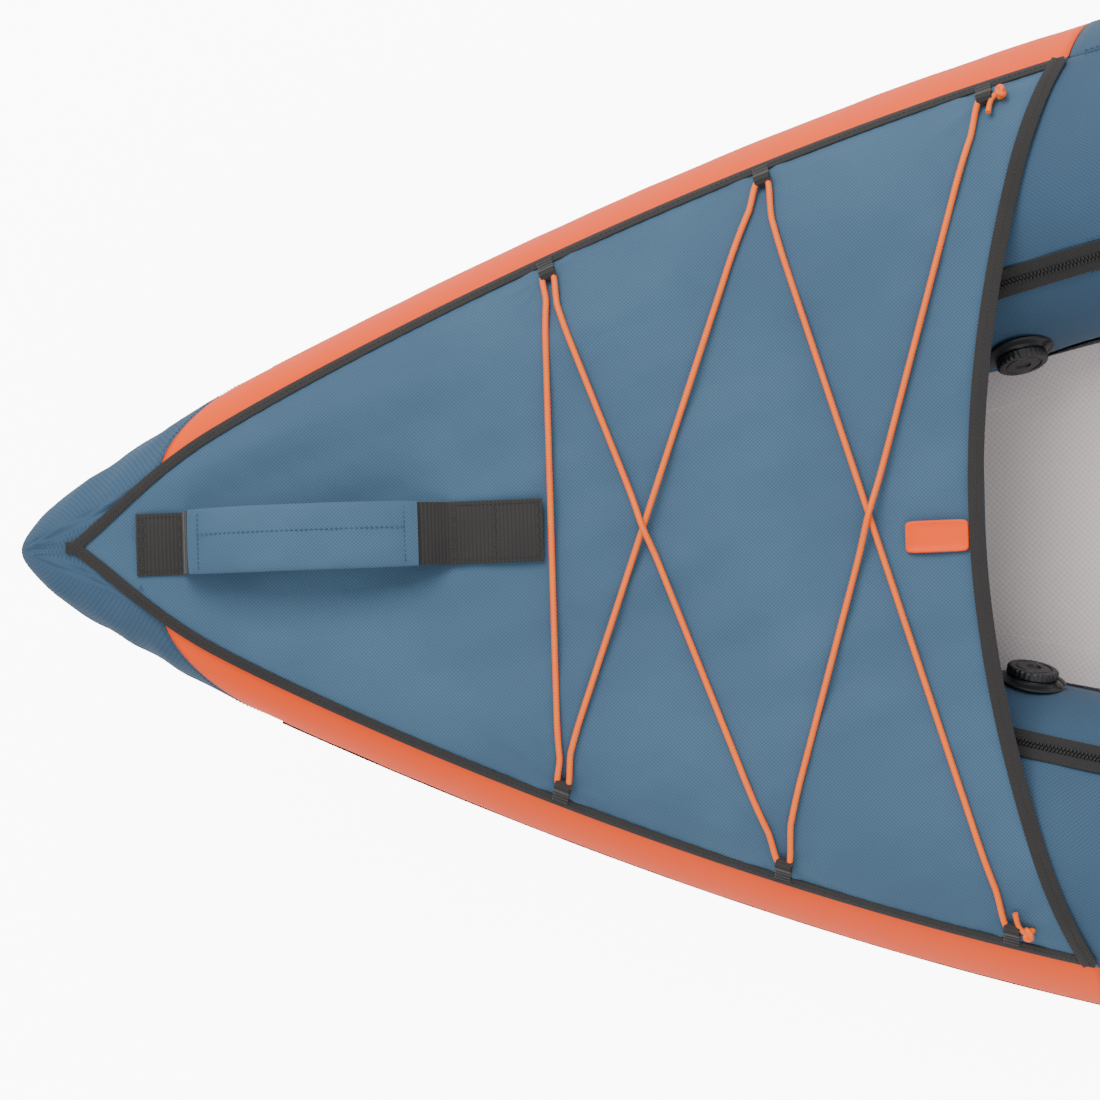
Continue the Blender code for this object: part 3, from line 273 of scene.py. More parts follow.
class Piece:
    """Collects surface patches of one piece and turns them into one object."""

    def __init__(self, name: str) -> None:
        """Starts an empty piece of that name."""
        self.name = name
        self.points: list[Array] = []
        self.faces: list[Array] = []
        self.uvs: list[Array] = []
        self.count = 0

    def grid(self, points: Array, uv: Array | None = None, outward: Array | None = None) -> "Piece":
        """Adds a patch as a grid of rows and columns.

        Without a UV, it is the length along the columns and along the rows, in metres.

        Args:
            points: rows by columns by 3.
            uv: rows by columns by 2, in metres.
            outward: rough outward directions, rows by columns by 3, for a patch that doesn't close.

        Returns:
            The piece itself.
        """
        rows, columns = points.shape[:2]
        if uv is None:
            across = np.linalg.norm(np.diff(points, axis=1), axis=2).mean(axis=0)
            along = np.linalg.norm(np.diff(points, axis=0), axis=2).mean(axis=1)
            u = np.concatenate([[0], np.cumsum(across)])
            v = np.concatenate([[0], np.cumsum(along)])
            uv = np.stack(np.meshgrid(u, v), -1)
        index = np.arange(rows * columns).reshape(rows, columns)
        quads = np.stack([index[:-1, :-1], index[:-1, 1:], index[1:, 1:], index[1:, :-1]], -1).reshape(-1,
            4)
        if outward is not None:
            flat = points.reshape(-1, 3)
            a, b, c, d = (flat[quads[:, k]] for k in range(4))
            normal = np.cross(c - a, d - b)
            if (normal * outward.reshape(-1, 3)[quads[:, 0]]).sum() < 0:
                quads = quads[:, ::-1]
        return self.add(points.reshape(-1, 3), quads, uv.reshape(-1, 2))

    def add(self, points: Array, faces: Array, uv: Array) -> "Piece":
        """Adds points, quads that count from the first of them, and a UV for each point."""
        self.points.append(points)
        self.faces.append(faces + self.count)
        self.uvs.append(uv)
        self.count += len(points)
        return self

    def build(
        self,
        finish: Finish,
        body: str | None,
        slot: str,
        replaces: tuple[str, ...] = (),
        thickness: float = 0.0,
        closed: bool = True,
        sharp: float = 40.0,
        bevel: float = 0.0,
    ) -> bpy.types.Object:
        """Makes the object, merges its seams and poles, and hands it to the frame.

        Args:
            finish: what it is made of.
            body: the CAD body that it rides on, or None to leave it without a parent.
            slot: not used.
            replaces: CAD nodes that it stands for.
            thickness: wall added inward, for a sheet.
            closed: whether every patch closes on itself, so that its faces can be turned outward.
            sharp: degrees past which an edge stays sharp.
            bevel: rounding of its sharp edges.

        Returns:
            The new object.
        """
        points, faces, uvs = (np.concatenate(x) for x in (self.points, self.faces, self.uvs))
        mesh = bpy.data.meshes.new(self.name)
        mesh.from_pydata(points.tolist(), [], faces.tolist())
        layer = mesh.uv_layers.new(name="cloth")
        layer.data.foreach_set("uv", uvs[faces.ravel()].astype(np.float32).ravel())
        work = bmesh.new()
        work.from_mesh(mesh)
        bmesh.ops.remove_doubles(work, verts=work.verts, dist=2e-6)
        bmesh.ops.dissolve_degenerate(work, edges=work.edges, dist=1e-7)
        if closed:
            bmesh.ops.recalc_face_normals(work, faces=work.faces)
        work.to_mesh(mesh)
        work.free()
        mesh.materials.append(finish.material())
        mesh.polygons.foreach_set("use_smooth", np.ones(len(mesh.polygons), bool))
        mesh.set_sharp_from_angle(angle=math.radians(sharp))
        made = bpy.data.objects.new(self.name + "_look", mesh)
        bpy.context.scene.collection.objects.link(made)
        if bevel:
            rounding = made.modifiers.new("Rounding", "BEVEL")
            rounding.width = bevel
            rounding.segments = 2
            rounding.limit_method = "ANGLE"
        if thickness:
            wall = made.modifiers.new("Wall", "SOLIDIFY")
            wall.thickness = thickness
            wall.offset = -1.0
        if replaces:
            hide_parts(*replaces)
        if body:
            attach(made, body)
        LOG.info("%s: %d faces", self.name, len(mesh.polygons))
        return made


def unit(vectors: Array) -> Array:
    """Vectors brought to length 1."""
    return vectors / np.maximum(np.linalg.norm(vectors, axis=-1, keepdims=True), 1e-12)


def lengths(path: Array) -> Array:
    """Length along a path at each of its points."""
    return np.concatenate([[0], np.cumsum(np.linalg.norm(np.diff(path, axis=0), axis=1))])


def along(path: Array, values: Array, places: Array) -> Array:
    """Reads values given at a path's points at other lengths along it."""
    measured = lengths(path)
    return np.stack([np.interp(places, measured, values[:, k]) for k in range(values.shape[1])], -1)


def rounded(points: Array, passes: int = 2) -> Array:
    """Cuts a path's corners: each pass puts two points on every stretch, a quarter in from its ends."""
    for _ in range(passes):
        a, b = points[:-1], points[1:]
        inner = np.stack([0.75 * a + 0.25 * b, 0.25 * a + 0.75 * b], 1).reshape(-1, points.shape[1])
        points = np.concatenate([points[:1], inner, points[-1:]])
    return points


def sweep(path: Array, side: Array, profile: Array, closed_path: bool = False) -> tuple[Array, Array]:
    """Carries a closed profile along a path.

    A point is the path's point plus the profile's first number along the side direction and its second along the
    direction square to both the path and the side. Both ends are closed by a pole.

    Args:
        path: points by 3.
        side: one side direction, or one for each point.
        profile: corners by 2, or one profile for each point.
        closed_path: whether the path runs back into its start, and so needs no poles.

    Returns:
        The grid of points and its UV in metres.
    """
    if closed_path:
        heading = unit(np.roll(path, -1, 0) - np.roll(path, 1, 0))
    else:
        heading = unit(np.gradient(path, axis=0))
    side = np.broadcast_to(side, path.shape)
    side = unit(side - heading * (side * heading).sum(-1, keepdims=True))
    up = np.cross(heading, side)
    ring = np.broadcast_to(profile, (len(path), *profile.shape[-2:]))
    ring = np.concatenate([ring, ring[:, :1]], 1)
    points = path[:, None] + ring[..., :1] * side[:, None] + ring[..., 1:] * up[:, None]
    round_it = np.concatenate([[0], np.cumsum(np.linalg.norm(np.diff(ring[len(ring) // 2], axis=0),
        axis=1))])
    way = lengths(path)
    if closed_path:
        points = np.concatenate([points, points[:1]])
        way = np.append(way, way[-1] + np.linalg.norm(path[0] - path[-1]))
    else:
        ends = [np.repeat(points[k, :-1].mean(0)[None, None], ring.shape[1], 1) for k in (0, -1)]
        points = np.concatenate([ends[0], points, ends[1]])
        way = np.concatenate([way[:1], way, way[-1:]])
    return points, np.stack(np.meshgrid(round_it, way), -1)


def flat_profile(width: float, thickness: float, corners: int = 5) -> Array:
    """Outline of a flat strap whose edges are half round: a box plus half circles of its thickness."""
    turn = np.linspace(-math.pi / 2, math.pi / 2, corners)
    radius = thickness / 2
    right = np.stack([width / 2 - radius + radius * np.cos(turn), radius * np.sin(turn)], -1)
    return np.concatenate([right, -right])


def round_profile(radius: float, count: int = 12) -> Array:
    """A circle: radius times the cosine and sine of equal steps."""
    turn = np.arange(count) * TAU / count
    return radius * np.stack([np.cos(turn), np.sin(turn)], -1)


def revolved(profile: list[tuple[float, float]], seat: Matrix, sides: int = 64, ribs: tuple = ()) -> Array:
    """Spins (radius, height) pairs round the seat's Z, with fine ribs on chosen rows.

    A point is the radius times the cosine and sine of the turn, and the height. On a ribbed row the radius
    shrinks by a share of the ribs' depth, which follows the square of a sine.

    Args:
        profile: radius and height pairs, from pole to pole or as a closed ring.
        seat: placement of the axis.
        sides: steps round it.
        ribs: rows that are ribbed, the number of ribs and their depth.

    Returns:
        The grid of points.
    """
    radius, height = np.array(profile).T
    turn = np.linspace(0, TAU, sides + 1)
    reach = np.repeat(radius[:, None], sides + 1, 1)
    if ribs:
        rows, number, depth = ribs
        reach[list(rows)] -= depth * np.sin(turn * number / 2) ** 2
    local = np.stack([reach * np.cos(turn), reach * np.sin(turn),
        np.repeat(height[:, None], sides + 1, 1)], -1)
    frame_matrix = np.array(seat)
    return local @ frame_matrix[:3, :3].T + frame_matrix[:3, 3]


def stitch_row(piece: Piece, path: Array, up: Array, pitch: float = 0.004, length: float = 0.0030,
        thick: float = 0.0007) -> Piece:
    """Sews a row of stitches along a path, each a short low bead that dips at its ends.

    The path is read every pitch. A bead is two rings of six points with a pole at each end, set along the
    path's heading and on the surface's up direction.

    Args:
        piece: the piece that holds the thread.
        path: points by 3, on the cloth.
        up: outward direction at each point, or one for all.
        pitch: from stitch to stitch.
        length: of one stitch.
        thick: of the thread.

    Returns:
        The piece.
    """
    total = lengths(path)[-1]
    places = np.arange(pitch / 2, total, pitch)
    if not len(places):
        return piece
    centre = along(path, path, places)
    heading = unit(along(path, unit(np.gradient(path, axis=0)), places))
    up = unit(along(path, np.broadcast_to(up, path.shape), places))
    side = unit(np.cross(up, heading))
    turn = np.arange(6) * TAU / 6
    rings = [(-length / 2, 0.0), (-length / 4, thick / 2), (length / 4, thick / 2), (length / 2, 0.0)]
    shape = np.array([(a, r * math.cos(t), r * math.sin(t) + r / 2 - thick / 8) for a,
        r in rings for t in turn])
    points = (
        centre[:, None] + shape[None, :, :1] * heading[:, None] + shape[None, :, 1:2] * side[:, None]
        + shape[None, :, 2:] * up[:, None]
    )
    index = np.arange(24).reshape(4, 6)
    turned = np.roll(index, -1, 1)
    faces = np.stack([index[:-1], turned[:-1], turned[1:], index[1:]], -1).reshape(1, -1, 4)
    faces = faces + 24 * np.arange(len(places))[:, None, None]
    uv = np.broadcast_to(shape[None, :, :2], (len(places), 24, 2))
    return piece.add(points.reshape(-1, 3), faces.reshape(-1, 4), uv.reshape(-1, 2))


def ripples(u: Array, v: Array, wave: float, seed: int, stretch: float = 1.0, count: int = 10) -> Array:
    """Soft random ripples: the sum of plane waves of about one length in random directions, brought to about 1.

    Args:
        u: place across the cloth.
        v: place along it.
        wave: middle wavelength.
        seed: picks the directions and phases.
        stretch: how much longer the ripples are along v.
        count: number of waves.

    Returns:
        The height at each place.
    """
    random = np.random.default_rng(seed)
    total = np.zeros(np.broadcast(u, v).shape)
    for _ in range(count):
        turn, phase = random.uniform(0, TAU, 2)
        reach = TAU / (wave * random.uniform(0.7, 1.5))
        total = total + np.sin(reach * (u * math.cos(turn) + v / stretch * math.sin(turn)) + phase)
    return total / math.sqrt(count)


def smoothstep(low: float, high: float, value: Array) -> Array:
    """0 below low, 1 above high, and an easy slope between."""
    share = np.clip((value - low) / (high - low), 0, 1)
    return share * share * (3 - 2 * share)


def seat_of(origin: Array, x_axis: Array, z_axis: Array) -> Matrix:
    """A placement whose Z is z_axis and whose X lies as near x_axis as it can."""
    z = unit(np.asarray(z_axis, float))
    x = unit(x_axis - z * np.dot(x_axis, z))
    y = np.cross(z, x)
    return Matrix([[x[k], y[k], z[k], origin[k]] for k in range(3)] + [[0, 0, 0, 1]])


# Hull lines


@dataclass(frozen=True)
class HullLines:
    """The shape of the two tubes: every cover, deck and fitting is set out on it."""

    length: float = CAD_BOX[1][0] - CAD_BOX[0][0]
    beam: float = 0.915
    tube_radius: float = 0.125
    end_taper: float = 1.35
    beam_power: float = 1.87
    nose_half_breadth: float = 0.0372
    radius_taper: float = 0.80
    radius_power: float = 2.25
    nose_radius: float = 0.030
    nose_round: float = 0.045
    sheer_rise: float = 0.09
    bottom_seam: float = math.radians(97)
    inner_step: float = math.radians(30)
    edge_inset: float = 0.0365
    middle_gap: float = 0.0004
    pinch: float = 0.0105
    pinch_start: float = 0.03
    pinch_end: float = 0.165
    deck_tip: float = 0.14
    tip_rounding: float = 0.030
    least_edge: float = 0.25
    most_edge: float = 0.95

    def half_breadth(self, d: Array) -> Array:
        """Half the hull's breadth at a distance from its end, drawn in a little towards the nose."""
        taper = 1 - np.minimum(d, self.end_taper) / self.end_taper
        breadth = self.beam / 2 - (self.beam / 2 - self.nose_half_breadth) * taper**self.beam_power
        return breadth - self.pinch * (1 - smoothstep(self.pinch_start, self.pinch_end, d))

    def deck_half_breadth(self, d: Array, breadth: Array) -> Array:
        """Half of the deck's breadth: a fixed inset from the side, drawn to a point at the nose."""
        return (breadth - self.edge_inset) * (1 - np.exp(-np.clip(d - self.nose_round, 0,
            None) / self.tip_rounding))

    def section(self, x: Array) -> tuple[Array, ...]:
        """The tubes in upright slices of the hull.

        The half breadth falls from half the beam by a power of the distance past the end taper, the radius
        likewise, and both close at the nose as the side of a circle does.

        Args:
            x: places along the hull.

        Returns:
            Radius, centre's Y, centre's Z and the deck edge's angle from the top of the tube.
        """
        d = np.clip(self.length / 2 - np.abs(x), 0, None)
        taper = 1 - np.minimum(d, self.end_taper) / self.end_taper
        swell = 1 - np.minimum(d, self.radius_taper) / self.radius_taper
        tip = 1 - np.minimum(d, self.nose_round) / self.nose_round
        rounding = np.sqrt(1 - tip**2)
        breadth = self.half_breadth(d)
        radius = self.tube_radius - (self.tube_radius - self.nose_radius) * swell**self.radius_power
        radius = np.minimum(radius, breadth - 0.0006)
        centre_z = 2 * self.tube_radius + self.sheer_rise * taper**2 - radius
        half = self.deck_half_breadth(d, breadth)
        edge = np.arcsin(np.clip((half - breadth + radius) / radius, self.least_edge, self.most_edge))
        return radius * rounding, (breadth - radius) * rounding, centre_z, edge

    def skin(self, x: Array, side: Array, girth: Array, offset: Array = 0.0) -> Array:
        """A place on a tube, by side (1 port, -1 starboard) and girth step.

        Girth 0 is the top of the tube, 2 the deck edge, 4 the bottom seam, 7 its underside, and each step
        below 0 is 30 degrees down its inner side.

        Args:
            x: place along the hull.
            side: 1 or -1.
            girth: girth step, with fractions.
            offset: distance out of the skin.

        Returns:
            The points.
        """
        x, side, girth, offset = np.broadcast_arrays(*(np.asarray(a, float) for a in (x, side, girth,
            offset)))
        radius, centre_y, centre_z, edge = self.section(x)
        upper = edge * girth / 2
        middle = edge + (self.bottom_seam - edge) * (girth - 2) / 2
        lower = self.bottom_seam + (math.pi - self.bottom_seam) * (girth - 4) / 3
        angle = np.select([girth <= 0, girth <= 2, girth <= 4], [girth * self.inner_step, upper, middle],
            lower)
        y = centre_y + (radius + offset) * np.sin(angle)
        y = np.where(girth < 0, np.maximum(y, self.middle_gap - offset), y)
        return np.stack([x, side * y, centre_z + (radius + offset) * np.cos(angle)], -1)

    def deck_half(self, x: Array) -> Array:
        """Length along the deck's cloth from its middle to its edge."""
        x = np.asarray(x, float)
        radius, centre_y, _, edge = self.section(x)
        half = centre_y + radius * edge
        least = edge <= math.asin(self.least_edge) + 1e-6
        tip = self.length / 2 - np.abs(x) < self.deck_tip
        return np.where(tip & least & (half > 0), self.tip_half(x), half)

    def tip_half(self, x: Array) -> Array:
        """Half length across the deck where it narrows to its point, before it rounds the tubes."""
        d = np.clip(self.length / 2 - np.abs(x), 0, None)
        return self.deck_half_breadth(d, self.half_breadth(d))

    def deck(self, x: Array, across: Array, offset: Array = 0.0) -> Array:
        """A place over the deck: flat between the tubes, then round each tube by the length left over.

        Args:
            x: place along the hull.
            across: signed length along the cloth from its middle.
            offset: distance out of the cloth.

        Returns:
            The points.
        """
        x, across, offset = np.broadcast_arrays(*(np.asarray(a, float) for a in (x, across, offset)))
        radius, centre_y, centre_z, _ = self.section(x)
        turn = np.clip(np.abs(across) - centre_y, 0, None) / np.maximum(radius, 1e-6)
        y = np.minimum(np.abs(across), centre_y) + (radius + offset) * np.sin(turn)
        return np.stack([x, np.sign(across) * y, centre_z + (radius + offset) * np.cos(turn)], -1)

    def frame_at(self, x: float, side: int, girth: float, offset: float) -> Matrix:
        """A seat on a tube: X towards the bow, Z out of the skin."""
        step = 0.005
        ahead = self.skin(x + step, side, girth) - self.skin(x - step, side, girth)
        round_it = self.skin(x, side, girth + 0.05) - self.skin(x, side, girth - 0.05)
        return seat_of(self.skin(x, side, girth, offset), ahead, np.cross(ahead, round_it) * side)

    def deck_frame(self, x: float, across: float, offset: float) -> Matrix:
        """A seat on the deck: X towards the bow, Z out of the cloth."""
        step = 0.004
        ahead = self.deck(x + step, across) - self.deck(x - step, across)
        aside = self.deck(x, across + step) - self.deck(x, across - step)
        return seat_of(self.deck(x, across, offset), ahead, np.cross(ahead, aside))


LINES = HullLines()


def end_x(end: int, distance: Array) -> Array:
    """Place along the hull at a distance from the bow (end 1) or the stern (end -1)."""
    return end * (LINES.length / 2 - distance)


@dataclass
class Hull:
    """The cloth that holds the tubes: noses, side panels, covers and bottom."""

    nose_seam: float = 0.123
    slant: float = 0.068  # how much further back the orange panels start at the bottom seam
    corner: float = 0.854
    gap: float = 0.0006
    wall: float = 0.0012
    bottom_wall: float = 0.0015

    def front(self, girth: Array) -> Array:
        """Distance at which the nose cap ends: at the nose seam by the deck, further back by the bottom seam."""
        return self.nose_seam + self.slant * smoothstep(2.0, 4.3, girth)

    def panel(self, name: str, side: int, ends: tuple[Array, Array], girths: Array, finish: Finish,
            slot: str, seed: int) -> None:
        """Builds one panel between two edges that may slant.

        The panel lies on the skin, with soft ripples that die out at its edges and puckers along its seams.

        Args:
            name: the CAD node that it stands for.
            side: 1 port or -1 starboard.
            ends: X of the bow edge and of the stern edge at each girth.
            girths: girth steps, one for each column.
            finish: its cloth.
            slot: not used.
            seed: picks its ripples.
        """
        rows = max(int(np.abs(ends[0] - ends[1]).mean() / 0.008), 12)
        share = np.linspace(0, 1, rows)[:, None]
        x = ends[0] * (1 - share) + ends[1] * share
        girth = np.broadcast_to(girths, x.shape)
        place = (girth - girths.min()) / (girths.max() - girths.min())
        rim = np.minimum(place, 1 - place)
        arc = girth * 0.065
        calm = smoothstep(0.0, 0.12, rim)
        stiff = 0.35 if finish is ORANGE_PVC else 1.0
        swell = np.clip(ripples(arc, x, 0.10, seed, 0.6), -1.0, 0.7) * 0.0007 * calm * stiff
        pucker = np.cos(x * TAU / 0.011 + 2 * ripples(arc, x, 0.08,
            seed + 1)) * 0.00022 * np.exp(-rim / 0.05) * stiff
        crease = -0.0009 * np.exp(-rim / 0.012) * stiff
        points = LINES.skin(x, side, girth, swell + pucker + crease)
        centre = LINES.section(x)
        outward = points - np.stack([x, side * centre[1], centre[2]], -1)
        uv = np.stack([arc, x], -1)
        Piece(name).grid(points, uv, outward).build(finish, "hull", slot, (name,), self.wall, closed=False)

    def side_panels(self) -> None:
        """Orange panels beside the decks and blue ones between them, from the deck edge to the bottom seam."""
        girths = np.concatenate([np.linspace(2.002, 2.2, 5), np.linspace(2.25, 3.75, 22),
            np.linspace(3.8, 3.99, 5)])
        start, back = end_x(1, self.front(girths)) - self.gap, self.corner + 0.012 * (girths - 2) / 2
        corner = end_x(1, back)
        stretches = {
            "bow": (start, corner + self.gap, ORANGE_PVC, "orange_pvc"),
            "mid": (corner - self.gap, self.gap - corner, TUBE_CLOTH, "blue_textile"),
            "stern": (-corner - self.gap, -start, ORANGE_PVC, "orange_pvc"),
        }
        for number, (place, (ahead, behind, finish, slot)) in enumerate(stretches.items()):
            for name, side in SIDES.items():
                self.panel(f"side_panel_{place}_{name}", side, (ahead, behind), girths, finish, slot,
                    10 * number + side + 1)

    def covers(self) -> None:
        """The blue cloth over the top and down the inner side of each tube."""
        girths = np.concatenate([np.linspace(1.998, 1.8, 4), np.linspace(1.7, -4.9, 56),
            np.linspace(-4.93, -5.0, 3)])
        start = end_x(1, self.nose_seam + self.gap) + 0 * girths
        for name, side in SIDES.items():
            self.panel(f"tube_cover_{name}", side, (start, -start), girths, TUBE_CLOTH, "blue_textile",
                41 + side)

    def noses(self) -> None:
        """The cloth cap over each nose, with a sewn middle line and small creases round its tip.

        The cap is a ring round both tubes at each distance, drawn back along the bottom. Creases are ripples
        that fade away from the tip, and the middle seam is a narrow groove between two low swells.
        """
        girth = np.concatenate([np.linspace(0, 2, 10), np.linspace(2.2, 7, 26)])
        side = np.concatenate([np.ones(len(girth)), [0], -np.ones(len(girth)), [0]])
        girths = np.concatenate([girth, [7], girth[::-1], [0]])
        side, girths = np.append(side, side[0]), np.append(girths, girths[0])
        for name, end in ENDS.items():
            share = np.linspace(0, 1, 56)[:, None] ** 1.5
            last = self.front(girths)
            d = 0.0004 + (last - 0.0004) * share
            x = end_x(end, d)
            base = LINES.skin(x, np.where(side == 0, 1, side), girths)
            base[..., 1] = np.where(side == 0, 0, base[..., 1])
            _, centre_y, centre_z, _ = LINES.section(x)
            middle = np.stack([x, np.sign(base[..., 1]) * centre_y, centre_z], -1)
            out = unit(base - middle)
            seam = np.exp(-((base[..., 1] / 0.0022) ** 2))
            fade = smoothstep(0.0, 0.02, d) * (1 - smoothstep(0.10, 0.19, d))
            lift = ripples(girths * 0.02 * side, x, 0.022, 5,
                1.8) * 0.0010 * fade - 0.0012 * seam * smoothstep(0.004, 0.012, d)
            lift = lift + 0.0008 * np.exp(-(((np.abs(base[..., 1]) - 0.005) / 0.0025) ** 2)) * fade
            points = base + out * lift[..., None] * (d < last.max())[..., None]
            tip = np.broadcast_to(np.array([end_x(end, 0.0), 0,
                LINES.section(np.array(end_x(end, 0.0)))[2]]), points[:1].shape)
            points = np.concatenate([tip, points])
            out = np.concatenate([np.broadcast_to([end, 0.0, 0.0], out[:1].shape), out])
            uv = np.concatenate([np.stack([np.cumsum(np.full(len(girths), 0.004)),
                np.full(len(girths), 0.0)], -1)[None],
                                 np.stack([np.broadcast_to(np.arange(len(girths)) * 0.004, d.shape), d],
                                     -1)])
            Piece(f"{name}_nose").grid(points, uv, out).build(
                TUBE_CLOTH, "hull", "blue_textile", (f"{name}_nose",), self.wall, closed=False)
            thread = Piece(f"{name}_nose_stitching")
            d = np.linspace(0.016, 0.046, 24)
            for shift in (-0.004, 0.004):
                line = LINES.deck(end_x(end, d), shift, 0.0012)
                stitch_row(thread, line, np.array([0.3 * end, 0, 1]), 0.0035, 0.0026, 0.0006)
            for sign in (1, -1):
                edge = np.linspace(2.05, 4.2, 60)
                line = LINES.skin(end_x(end, self.front(edge) - 0.004), sign, edge, 0.0004)
                _, centre_y, centre_z, _ = LINES.section(line[:, 0])
                out = line - np.stack([line[:, 0], sign * centre_y, centre_z], -1)
                stitch_row(thread, line, out, 0.0038, 0.0028, 0.0006)
            thread.build(THREAD_BLUE, "hull", "blue_textile")

    def bottom(self) -> None:
        """The black sheet under both tubes and the floor, and a tape over each of its seams.

        The sheet runs round each tube from seam to seam. It is rippled where it rises off the ground.
        """
        girth = np.linspace(4.01, 7, 30)
        half = np.concatenate([girth, np.full(12, 7.0)])
        out_share = np.concatenate([np.ones(30), np.linspace(1, 0, 13)[1:]])
        girths = np.concatenate([half, half[::-1][1:]])
        share = np.concatenate([out_share, -out_share[::-1][1:]])
        front = end_x(1, self.front(girths) + self.gap)
        rows = np.linspace(0, 1, 300)[:, None]
        x = front * (1 - 2 * rows)
        side = np.where(share >= 0, 1, -1)
        flat = LINES.skin(x, side, girths)
        flat[..., 1] *= np.where(girths == 7, np.abs(share), 1)
        level = smoothstep(0.0, 0.02, flat[..., 2])
        wave = ripples(flat[..., 1], x, 0.12, 77, 0.7) * 0.0006 * level
        flat[..., 2] += wave
        outward = flat - np.stack([x, flat[..., 1] * 0.7, np.full(x.shape[0:1] + girths.shape, 0.2)], -1)
        uv = np.stack([flat[..., 1], np.broadcast_to(x, flat.shape[:2])], -1)
        Piece("hull_bottom").grid(flat, uv, outward).build(
            BLACK_PVC, "hull", "black_pvc", ("hull_bottom",), self.bottom_wall, closed=False)
        tapes = Piece("bottom_seam_tapes")
        for sign in (1, -1):
            d = np.linspace(self.front(np.array(4.0)) + 0.004,
                LINES.length - self.front(np.array(4.0)) - 0.004, 320)
            line = LINES.skin(LINES.length / 2 - d, sign, 4.0, 0.0006)
            low = LINES.skin(LINES.length / 2 - d, sign, 4.1, 0.0006)
            tapes.grid(*sweep(line, low - line, flat_profile(0.022, 0.0012)))
        tapes.build(BLACK_PVC, "hull", "black_pvc")

    def seams(self) -> None:
        """Double rows of thread along the deck-edge line and beside each zip."""
        thread = Piece("hull_stitching")
        x = np.linspace(end_x(1, self.corner + 0.012), end_x(-1, self.corner + 0.012), 260)
        for sign in (1, -1):
            for girth in (1.955, 2.045, -1.42, -0.98):
                line = LINES.skin(x, sign, girth, 0.0010)
                _, centre_y, centre_z, _ = LINES.section(x)
                out = line - np.stack([x, sign * centre_y, centre_z], -1)
                stitch_row(thread, line, out, 0.0045, 0.0034, 0.0007)
        thread.build(THREAD_BLUE, "hull", "blue_textile")

    def bladders(self) -> None:
        """The air chamber inside each cover: a smooth tube 4 mm under the skin, closed at both ends.

        Each section is a circle round the tube's centre, flattened where the two tubes meet in the middle.
        """
        x = np.linspace(end_x(1, 0.18), end_x(-1, 0.18), 180)[:, None]
        turn = np.linspace(0, TAU, 49)[None]
        radius, centre_y, centre_z, _ = LINES.section(x)
        share = 1 - np.minimum(np.abs(x - x[0]), np.abs(x - x[-1])) / 0.05
        round_end = np.sqrt(np.clip(1 - np.clip(share, 0, 1) ** 2, 0, 1))
        reach = (radius - 0.004) * round_end
        for name, side in SIDES.items():
            y = side * np.maximum(centre_y + reach * np.sin(turn), 0.003)
            points = np.stack([x + 0 * turn, y, centre_z + reach * np.cos(turn)], -1)
            name = f"tube_bladder_{name}"
            Piece(name).grid(points).build(FILM, "hull", "bladder", (name,))

    def build(self) -> None:
        """Builds every panel of the hull."""
        self.side_panels()
        self.covers()
        self.noses()
        self.bottom()
        self.seams()
        self.bladders()


